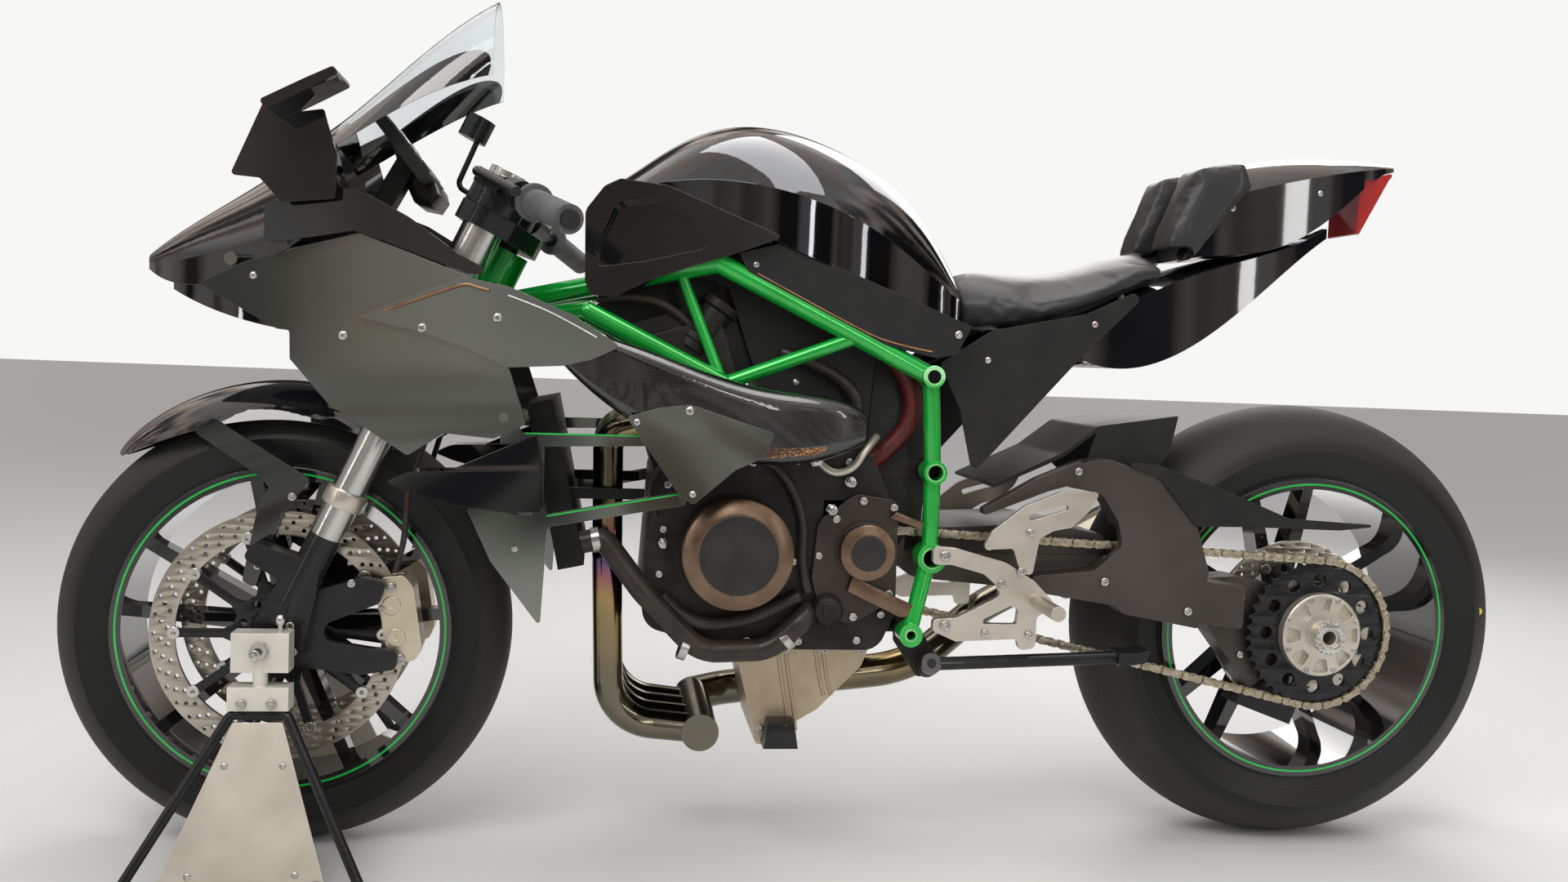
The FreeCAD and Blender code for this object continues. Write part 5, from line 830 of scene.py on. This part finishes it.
def buildSprocket(look):
    # rounded seats between pointed teeth
    roller = look["roller"]
    tip, root = look["radius"] + roller * 0.55, look["radius"] - roller * 1.02
    marks = ((-0.3, root + roller * 0.55), (-0.17, root + roller * 0.12), (0.0, root),
             (0.17, root + roller * 0.12), (0.3, root + roller * 0.55), (0.43, tip - roller * 0.2),
             (0.5, tip), (0.57, tip - roller * 0.2))
    outlines = [toothed(look["teeth"], marks), circle(look["bore"], 60)]
    outlines += [circle(look["holeRadius"], 20, polar(look["holeRing"], angle))
                 for angle in ringOf(look["holes"])]
    return plateOf("wheelSprocket", outlines, look["thick"], 0.0006)


wheelX, wheelZ = axles["rear"]
wheelSprocket = standUp(buildSprocket(sprocketSettings), (wheelX, chainSettings["plane"], wheelZ))
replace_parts(settle(wheelSprocket, "wheelSprocket", "rear_wheel", "satinBlack"),
            "rear_sprocket")
print("chain and sprocket done")

# fasteners seen on each side
bothSides("fenderScrews", "front_fender", [(-0.721, 0.485, 0.0055), (-0.763, 0.393, 0.0055)],
          body="front_end")
bothSides("caliperBolts", "front_calipers", [
    (-0.591, 0.368, 0.0062), (-0.578, 0.272, 0.0062), (-0.603, 0.339, 0.0045), (-0.601, 0.292, 0.0045),
], body="front_end")
bothSides("forkFootBolts", "fork_inner_tubes", [
    (-0.708, 0.288, 0.0055), (-0.712, 0.322, 0.0055), (-0.612, 0.312, 0.0055), (-0.64, 0.375, 0.0055),
], body="front_end")
bothSides("panelScrews", "side_fairings", [
    (-0.645, 0.699, 0.0062), (-0.545, 0.712, 0.0062), (-0.452, 0.728, 0.0062), (-0.76, 0.77, 0.005),
    (-0.5, 0.56, 0.005)], kind="dome")
bothSides("shroudScrews", "lower_panels", [
    (-0.213, 0.622, 0.006), (-0.278, 0.606, 0.0045), (-0.206, 0.518, 0.0045), (-0.43, 0.6, 0.0045),
    (-0.425, 0.44, 0.0045)], kind="dome")
bothSides("coverScrews", "side_covers", [
    (0.147, 0.732, 0.006), (-0.128, 0.812, 0.0045), (0.2, 0.7, 0.005), (0.35, 0.755, 0.005)], kind="dome")
boltRow("armScrews", "swingarm", [
    (0.514, 0.48, 0.006), (0.376, 0.4, 0.006), (0.5, 0.36, 0.006), (0.33, 0.552, 0.0055),
    (0.6, 0.372, 0.0055), (0.604, 0.29, 0.0055)])
bothSides("restBolts", "footrests", [
    (0.14, 0.436, 0.0072), (0.144, 0.342, 0.0072), (0.246, 0.417, 0.006), (0.256, 0.47, 0.0055),
    (0.22, 0.4, 0.0055), (0.262, 0.33, 0.006), (0.2, 0.332, 0.0055)])
bothSides("crankBolts", "engine_block", [
    (-0.232, 0.52, 0.0055), (-0.19, 0.545, 0.0055), (-0.12, 0.552, 0.0055), (-0.06, 0.556, 0.0055),
    (0.01, 0.556, 0.0055), (-0.236, 0.46, 0.005), (-0.24, 0.4, 0.005), (-0.236, 0.35, 0.0055),
    (-0.19, 0.318, 0.0055), (-0.12, 0.312, 0.0055), (-0.05, 0.312, 0.0055), (0.03, 0.314, 0.0055),
    (0.062, 0.35, 0.0055), (-0.27, 0.56, 0.005), (-0.285, 0.61, 0.005), (-0.18, 0.6, 0.005),
    (-0.2, 0.655, 0.005), (-0.06, 0.42, 0.005), (-0.058, 0.5, 0.005)])
boltRow("coverBoltsLeft", "engine_covers", [
    (-0.006, 0.48, 0.0055), (0.03, 0.505, 0.0055), (0.072, 0.497, 0.0055), (-0.02, 0.372, 0.0055),
    (0.022, 0.348, 0.0055), (0.07, 0.38, 0.0055), (-0.028, 0.43, 0.005)])
boltRow("panBoltsLeft", "oil_pan", [
    (-0.112, 0.288, 0.005), (-0.06, 0.29, 0.005), (-0.005, 0.29, 0.005), (0.045, 0.29, 0.005),
    (-0.092, 0.18, 0.005), (-0.062, 0.176, 0.005)])
boltRow("hangerBolt", "side_stand", [(0.134, 0.284, 0.0078)], sink=0.0005)
bothSides("standBlockBolts", "stand_clamps", [
    (-0.742, 0.295, 0.0075), (-0.721, 0.234, 0.0065), (-0.757, 0.234, 0.0065)], body="front_end")
bothSides("standPlateScrews", "stand_plates", [
    (-0.772, 0.16, 0.0045), (-0.702, 0.16, 0.0045), (-0.8, 0.04, 0.0045), (-0.675, 0.04, 0.0045),
], body="front_end", kind="dome")
bothSides("tailScrews", "tail_cowl", [(0.56, 0.93, 0.005), (0.7, 0.96, 0.0045)], kind="dome")
print("fasteners done")

# green stripes on the rims' edges
for wheel, half, radius in (("front", 0.052, 0.2135), ("rear", 0.084, 0.213)):
    for side, word in sides:
        ring = lathe("rimStripe", ringProfile(radius - 0.0016, radius + 0.0016, -0.0002, 0.0004, 0.0003), 160)
        standUp(ring, (axles[wheel][0], side * half, axles[wheel][1]), side)
        settle(ring, wheel + "RimStripe" + word, wheel + "_wheel", "stripeGreen", 60)

# bronze ring on the clutch cover
clutchRing = lathe("clutchRing", ringProfile(0.0406, 0.0434, -0.0003, 0.0008, 0.0005), 96)
settle(standUp(clutchRing, (-0.01, 0.198, 0.44)), "clutchRing", "chassis", "bronzeRing", 60)

# notched nut and bolts on the wheel cover, nut on each end of the front axle
nutSettings = {"notches": 18, "outer": 0.0236, "bore": 0.0142, "thick": 0.0048, "y": -0.15}
outer, inner = nutSettings["outer"], nutSettings["outer"] * 0.9
nutOutline = toothed(nutSettings["notches"], ((0.0, outer), (0.56, outer), (0.62, inner), (0.94, inner)))
nut = plateOf("spindleNut", [nutOutline, circle(nutSettings["bore"], 32)], nutSettings["thick"], 0.0005)
settle(standUp(nut, (wheelX, nutSettings["y"], wheelZ)), "spindleNut", "rear_wheel", "silverMetal")
spindleBolts = [polar(0.0545, math.radians(angle)) for angle in range(22, 382, 45)]
boltRow("spindleBolts", "rear_spindle", [(wheelX + x, wheelZ + z, 0.0034) for x, z in spindleBolts],
        body="rear_wheel")
hexProfile = [(0.006, 0.0), (0.0122, 0.0), (0.0122, 0.006), (0.0112, 0.0074), (0.006, 0.0074)]
axleNuts = [standUp(lathe("axleNut", hexProfile, 6), (axles["front"][0], side * 0.1722, axles["front"][1]),
                    side)
            for side, word in sides]
settle(joinAll(axleNuts), "axleNuts", "front_end", "boltSteel")
print("rings and nuts done")

# cables, clamps and fittings on the engine's left
cable("redHose", 0.0125, "cableRed", [
    (0.04, -0.1, 0.728), (0.082, -0.112, 0.69), (0.104, -0.112, 0.64), (0.092, -0.11, 0.59),
    (0.05, -0.1, 0.556)])
cable("lowerHose", 0.0095, "hoseRubber", [
    (-0.052, -0.146, 0.374), (-0.1, -0.152, 0.35), (-0.15, -0.152, 0.336), (-0.205, -0.15, 0.338),
    (-0.236, -0.146, 0.372)])
cable("engineLoom", 0.0065, "hoseRubber", [
    (-0.15, -0.136, 0.56), (-0.1, -0.146, 0.56), (-0.066, -0.146, 0.52), (-0.048, -0.146, 0.47),
    (-0.052, -0.146, 0.42), (-0.04, -0.146, 0.38)])
cable("oilLine", 0.0055, "creamMetal", [
    (-0.036, -0.142, 0.56), (-0.02, -0.15, 0.54), (0.012, -0.15, 0.545), (0.03, -0.146, 0.572),
    (0.05, -0.12, 0.59)])
cable("clutchLine", 0.0045, "hoseRubber", [
    (-0.24, -0.13, 0.47), (-0.262, -0.15, 0.5), (-0.25, -0.15, 0.54), (-0.222, -0.14, 0.566)])
clampShape = [(0.0152, -0.0055), (0.0164, -0.0055), (0.0168, -0.005), (0.0168, 0.005), (0.0164, 0.0055),
              (0.0152, 0.0055)]


def hoseBand(name, spot, heading):
    ring = lathe(name, clampShape, 40)
    lug = lathe(name + "Lug", [(0.0, -0.004), (0.0032, -0.004), (0.0032, 0.004), (0.0, 0.004)], 12)
    settle(aim(joinAll([ring, standUp(lug, (0.0186, 0, 0))]), spot, heading), name, "chassis", "boltSteel")


hoseBand("hoseBandFront", (-0.324, -0.133, 0.4435), (1, 0, 0.21))
hoseBand("hoseBandLow", (-0.205, -0.157, 0.306), (1, 0, -0.35))
hoseBand("hoseBandRear", (-0.07, -0.1575, 0.319), (1, 0, 0.9))
fitting = lathe("fitting", [(0.0, 0.0), (0.0085, 0.0), (0.0085, 0.006), (0.0066, 0.007), (0.0066, 0.014),
                            (0.008, 0.015), (0.008, 0.02), (0.0046, 0.022), (0.0046, 0.027), (0.0, 0.027)], 6)
fittings = placeEach(fitting, [
    ((-0.036, -0.137, 0.556), (0.0, -1, 0.15), 1.0), ((0.012, -0.137, 0.53), (0.0, -1, 0.0), 0.9),
    ((-0.012, -0.137, 0.492), (0.0, -1, 0.0), 0.9), ((-0.236, -0.137, 0.442), (0.0, -1, 0.0), 0.8)])
settle(fittings, "engineFittings", "chassis", "silverMetal")
print("lines and fittings done")

# thin painted lines and trim on the panels; painted shade as black plugs in the bosses' bores, pale green
# face rings
barLines = {
    "upperBarLine": [(-0.416, 0.5868), (-0.264, 0.5878), (-0.264, 0.5856), (-0.416, 0.5846)],
    "lowerBarLine": [(-0.386, 0.4835), (-0.216, 0.516), (-0.216, 0.5138), (-0.386, 0.4813)],
}
coverLine = [(-0.126, 0.801), (0.012, 0.733), (0.06, 0.716), (0.112, 0.708)]
bossRows = [  # name, x, z, face, bore, depth of the bore
    ("seat", 0.115, 0.675, 0.168, 0.009, 0.0015), ("linkage", 0.125, 0.546, 0.16, 0.01, 0.022),
    ("pivot", 0.126, 0.43, 0.158, 0.012, 0.022), ("hanger", 0.099, 0.327, 0.169, 0.006, 0.022),
]


def strip(name, points, y, thick, finish):
    piece = standUp(plateOf(name, [points], thick, 0.0001), (0, y, 0))
    settle(piece, name, "chassis", finish)


def dressBoss(name, word, side, x, z, face, bore, deep):
    # a near-black plug deep in the bore: painted shade
    plug = lathe("bossBore", [(0.0, 0.0), (bore - 0.0002, 0.0), (bore - 0.0002, 0.0012), (bore * 0.5, 0.0016),
                              (bore * 0.45, 0.0008), (0.0, 0.0006)], 32)
    standUp(plug, (x, side * (face - deep), z), side)
    settle(plug, name + "Bore" + word, "chassis", "paintedShadeBlack")
    ring = lathe("bossFace", ringProfile(bore + 0.0002, bore + 0.003, -0.0002, 0.0008, 0.0004))
    settle(standUp(ring, (x, side * face, z), side), name + "Face" + word, "chassis", "paleGreen")


for side, word in sides:
    for name, points in barLines.items():
        strip(name + word, points, side * 0.2054, 0.0008, "stripeGreen")
    linePoints = [(x, side * 0.1622, z) for x, z in coverLine]
    cable("coverLine" + word, 0.001, "copperTrim", linePoints)
    for name, *boss in bossRows:
        dressBoss(name, word, side, *boss)
print("lines and bosses done")

# woven mesh over the duct's lower mouth
meshSettings = {"start": (-0.132, 0.548), "end": (-0.024, 0.574), "pitch": 0.004, "wire": 0.0009,
                "lift": 0.001}


def ductMesh(look, side, word):
    (startX, startZ), (endX, endZ) = look["start"], look["end"]
    wide, high = endX - startX, endZ - startZ
    clearSelection()
    bpy.ops.mesh.primitive_grid_add(x_subdivisions=round(wide / look["pitch"]),
                                    y_subdivisions=round(high / look["pitch"]), size=1)
    net = standUp(bpy.context.object, ((startX + endX) / 2, side * 0.26, (startZ + endZ) / 2))
    net.matrix_world = net.matrix_world @ Matrix.Diagonal((wide, high, 1, 1))
    applyPlace(net)
    applyModifier(net, "SHRINKWRAP", target=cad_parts["air_duct"], wrap_method="NEAREST_SURFACEPOINT",
                  offset=look["lift"])
    applyModifier(net, "WIREFRAME", thickness=look["wire"], use_even_offset=False)
    settle(net, "ductMesh" + word, "chassis", "copperTrim", 60)


for side, word in sides:
    ductMesh(meshSettings, side, word)

# matt black sheets as painted shade, throttle bodies and looms that fill the room inside the frame's
# triangles
shadeSheetOutline = [(-0.352, 0.742), (-0.25, 0.806), (-0.176, 0.8), (-0.12, 0.7), (-0.13, 0.64), (-0.23, 0.68),
          (-0.3, 0.7)]
# black sheets inside the frame's front triangle: painted shade
for side, word in sides:
    strip("innerShadeSheet" + word, shadeSheetOutline, side * 0.085, 0.003, "mattBlack")
throttle = lathe("throttle", [(0.0, 0.0), (0.023, 0.0), (0.023, 0.01), (0.026, 0.012), (0.026, 0.02),
                              (0.022, 0.023), (0.022, 0.06), (0.027, 0.064), (0.027, 0.074), (0.0, 0.074)],
                 36)
throttles = placeEach(throttle, [((-0.206, 0.066 * rank, 0.7), (0.55, 0, 0.83))
                                 for rank in (-1.7, -0.55, 0.55, 1.7)])
settle(throttles, "throttleBodies", "chassis", "castDark")
cable("mainLoomLeft", 0.006, "hoseRubber", [
    (-0.33, -0.118, 0.76), (-0.27, -0.122, 0.77), (-0.216, -0.12, 0.742), (-0.18, -0.118, 0.7),
    (-0.15, -0.118, 0.668)])
cable("breatherHoseLeft", 0.0085, "hoseRubber", [
    (-0.08, -0.1, 0.7), (-0.05, -0.116, 0.69), (0.0, -0.116, 0.668), (0.03, -0.114, 0.632),
    (0.02, -0.104, 0.6)])
cable("fuelLineRight", 0.005, "hoseRubber", [
    (-0.3, 0.118, 0.752), (-0.24, 0.122, 0.748), (-0.196, 0.12, 0.706), (-0.15, 0.118, 0.672)])
boltRow("chamberScrews", "intake_chamber", [
    (-0.08, 0.77, 0.005), (0.03, 0.74, 0.005), (0.06, 0.64, 0.005), (-0.06, 0.66, 0.005),
    (-0.02, 0.6, 0.005)], kind="dome")
print("frame room filled")

# thin raised edges that follow the side panels: a bronze bevel, and silver beads that are painted highlights
panelEdges = [  # name, radius, finish, points along the panel
    ("panelBevel", 0.0024, "bronzeRing", [
        (-0.62, 0.7215), (-0.5894, 0.733), (-0.5508, 0.7475), (-0.512, 0.762), (-0.4906, 0.769),
        (-0.4776, 0.764), (-0.4628, 0.761)]),
    # silver beads along the panel's top edge: painted highlights
    ("crestHighlightBead", 0.0012, "silverMetal", [
        (-0.84, 0.76), (-0.8105, 0.774), (-0.7575, 0.8), (-0.7088, 0.81), (-0.664, 0.816)]),
    ("tailHighlightBead", 0.0012, "silverMetal", [
        (-0.44, 0.756), (-0.4, 0.743), (-0.36, 0.724), (-0.33, 0.708)]),
]
for side, word in sides:
    for name, radius, finish, points in panelEdges:
        seats = [onSurface("side_fairings", (x, side * 0.4, z), (0, -side, 0)) for x, z in points]
        seats = [seat for seat in seats if seat]
        if len(seats) > 2:
            cable(name + word, radius, finish, seats)
        else:
            print("no seat for", name + word)

# bright stanchions with a clamp ring between the fork's tubes and feet
forkLook = {"foot": -0.8455, "way": (0.4242, 0.9056), "offset": 0.0295, "spread": 0.105, "low": 0.47,
            "high": 0.623, "radius": 0.0221, "ringAt": 0.512}
tubeLength = forkLook["high"] - forkLook["low"]
tubeProfile = [(forkLook["radius"] - 0.001, 0.0), (forkLook["radius"], 0.0), (forkLook["radius"], tubeLength),
               (forkLook["radius"] - 0.001, tubeLength)]
clampProfile = [(0.0222, 0.0), (0.0262, 0.001), (0.0272, 0.004), (0.0272, 0.021), (0.0262, 0.024),
                (0.0222, 0.025)]
forkTubes = (("stanchion", tubeProfile, forkLook["low"], "silverMetal"),
             ("clampRing", clampProfile, forkLook["ringAt"], "creamMetal"))
for side, word in sides:
    wayX, wayZ = forkLook["way"]
    for name, profile, up, finish in forkTubes:
        spot = (forkLook["foot"] + wayX * up - wayZ * forkLook["offset"], side * forkLook["spread"],
                wayZ * up + wayX * forkLook["offset"])
        tube = aim(lathe(name, profile, 64), spot, (wayX, 0, wayZ))
        settle(tube, name + word, "front_end", finish)

# deep black housing behind the instruments
housing = [(-0.618, 0.974), (-0.605, 0.975), (-0.556, 0.912), (-0.552, 0.898), (-0.562, 0.882),
           (-0.585, 0.886), (-0.607, 0.934)]
instrumentHousing = standUp(plateOf("instrumentHousing", [housing], 0.13, 0.003), (0, 0.065, 0))
settle(instrumentHousing, "instrumentHousing", "chassis", "satinBlack")

# bevelled bronze caps on the generator and sprocket covers, the oil pump's round housing
capSettings = [  # name, x, z, face, outer radius, inner radius, rise
    ("generatorCap", -0.141, 0.436, 0.1955, 0.0725, 0.053, 0.011),
    ("sprocketCap", 0.036, 0.437, 0.1635, 0.0375, 0.0255, 0.007),
]
for name, x, z, face, outer, inner, rise in capSettings:
    bevel = lathe(name + "Bevel", [(outer, 0.0), (outer, 0.0022), (outer - 0.001, 0.0032),
                                   (inner + 0.0012, rise - 0.0003), (inner, rise),
                                   (inner - 0.0016, rise - 0.0002)], 128)
    settle(standUp(bevel, (x, -face, z)), name + "Bevel", "chassis", "bronzeBevel", 25)
    middle = lathe(name + "Centre", [(0.0, rise - 0.001), (inner * 0.6, rise - 0.0009),
                                     (inner - 0.0004, rise - 0.0006), (inner - 0.0002, 0.0), (0.0, 0.0)], 128)
    settle(standUp(middle, (x, -face, z)), name + "Centre", "chassis", "coverGrey", 25)
pumpProfile = [(0.0, 0.018), (0.008, 0.018), (0.01, 0.014), (0.017, 0.012), (0.021, 0.007), (0.022, 0.0),
               (0.0, -0.004)]
pump = standUp(lathe("pumpHousing", pumpProfile, 64), (-0.014, -0.15, 0.357))
settle(pump, "pumpHousing", "chassis", "castDark")
coverEdges = {
    "coverEdgeLow": [(0.012, 0.384), (0.084, 0.35), (0.112, 0.35), (0.112, 0.362), (0.018, 0.404)],
    "coverEdgeHigh": [(0.066, 0.484), (0.108, 0.47), (0.112, 0.478), (0.074, 0.492)],
}
for name, points in coverEdges.items():
    strip(name, points, -0.156, 0.004, "bronzeBevel")

# pressed ribs, black sump and drain plug on the oil pan
ribs = [[(-0.066, 0.296), (-0.061, 0.262), (-0.05, 0.206), (-0.046, 0.176)],
        [(-0.014, 0.3), (-0.01, 0.276), (-0.003, 0.238), (0.002, 0.226)]]
for side, word in sides:
    for rank, points in enumerate(ribs):
        for shift, letter in ((-0.0052, "A"), (0.0052, "B")):
            ribPoints = [(x + shift, side * 0.0926, z) for x, z in points]
            cable("panRib%s%d%s" % (word, rank, letter), 0.0024, "champagnePan", ribPoints)
sumpOutline = [(-0.084, 0.196), (-0.048, 0.196), (-0.042, 0.16), (-0.09, 0.16)]
sump = standUp(plateOf("oilSump", [sumpOutline], 0.128, 0.004), (0, -0.064, 0))
settle(sump, "oilSump", "chassis", "satinBlack")
drain = lathe("drainPlug", [(0.0, 0.008), (0.005, 0.008), (0.006, 0.006), (0.006, 0.001), (0.0085, 0.0005),
                            (0.0085, -0.002), (0.0, -0.002)], 24)
aim(drain, (-0.09, -0.05, 0.168), (-0.85, 0, -0.5))
settle(drain, "drainPlug.001", "chassis", "satinBlack")

# matt black sheets behind the frame's upright tubes: painted shade
shadeSheetBehindTubes = [(0.05, 0.7), (0.118, 0.668), (0.124, 0.6), (0.126, 0.52), (0.12, 0.44), (0.07, 0.42),
             (0.04, 0.56)]
for side, word in sides:
    strip("innerShadePanel" + word, shadeSheetBehindTubes, side * 0.096, 0.004, "mattBlack")
print("engine covers and pan done")

# instrument glass with a plain dial
dialOut, dialUp = Vector((0.788, 0, 0.6157)), Vector((-0.6157, 0, 0.788))  # off the panel, along it
dialTurn = Matrix((Vector((0, 1, 0)), dialUp, dialOut)).transposed().to_4x4()
dialPlace = Vector((-0.5675, 0.0, 0.905)) + dialOut * 0.0165 + dialUp * 0.05
glassOutline = [(-0.072, -0.03), (-0.06, -0.044), (0.06, -0.044), (0.072, -0.03), (0.072, 0.034),
                (0.062, 0.044), (-0.062, 0.044), (-0.072, 0.034)]
glass = plateOf("instrumentGlass", [glassOutline], 0.002, 0.0004)
glass.matrix_world = Matrix.Translation(dialPlace) @ dialTurn
settle(glass, "instrumentGlass", "chassis", "smokeGlass")
marks = []
for index in range(25):
    angle = math.radians(225 - index * 270 / 24)
    start, half = (0.025, 0.0007) if index % 4 == 0 else (0.0275, 0.0004)  # every fourth mark is long
    across = Vector(polar(half, angle + math.pi / 2))
    corners = [Vector(polar(start, angle)) + across, Vector(polar(start, angle)) - across,
               Vector(polar(0.0305, angle)) - across, Vector(polar(0.0305, angle)) + across]
    marks.append(plateOf("dialTick", [corners], 0.0006, 0.00005))
needleOutline = [(-0.0012, -0.006), (0.0012, -0.006), (0.0004, 0.026), (-0.0004, 0.026)]
needle = plateOf("dialNeedle", [needleOutline], 0.0008, 0.00005)
needle.data.transform(Matrix.Rotation(math.radians(125), 4, "Z"))
marks += [needle, lathe("dialHub", [(0.0, -0.0004), (0.004, -0.0004), (0.0034, 0.0012), (0.0, 0.0014)], 24),
          lathe("dialRing", ringProfile(0.033, 0.0346, -0.0004, 0.001, 0.0004), 64)]
dial = joinAll(marks)
dial.matrix_world = Matrix.Translation(dialPlace + dialOut * 0.0013) @ dialTurn
settle(dial, "dialMarks", "chassis", "silverMetal")

# the axle stands' clamping screws with ball heads, base knobs, piston caps of the calipers, dots on the tyres
ballScrew = lathe("ballScrew", [(0.0, 0.0), (0.003, 0.0), (0.003, 0.008), (0.005, 0.01), (0.0062, 0.0135),
                                (0.0062, 0.0165), (0.0048, 0.02), (0.0022, 0.0222), (0.0, 0.0225)], 24)
screws = placeEach(ballScrew, [((-0.716, side * 0.158, 0.3218), (0, 0, 1)) for side, word in sides])
settle(screws, "ballScrews", "front_end", "silverMetal")
bothSides("standKnobs", "stand_plates", [(-0.826, 0.026, 0.0085), (-0.649, 0.026, 0.0085)], body="front_end",
          finish="satinBlack", kind="dome")
bothSides("pistonCaps", "front_calipers", [(-0.591, 0.343, 0.0125), (-0.584, 0.3, 0.0125)], body="front_end",
          finish="champagne", kind="cap")
bothSides("tyreDots", "front_tyre", [(-0.862, 0.128, 0.0055)], body="front_wheel", finish="paintYellow",
          kind="cap", sink=0.0012)
boltRow("rearTyreDot", "rear_tyre", [(0.985, 0.355, 0.0055)], body="rear_wheel", finish="paintYellow",
        kind="cap", sink=0.0012)
for source in screwKinds.values():
    drop(source)
print("stand and wheel trim done")
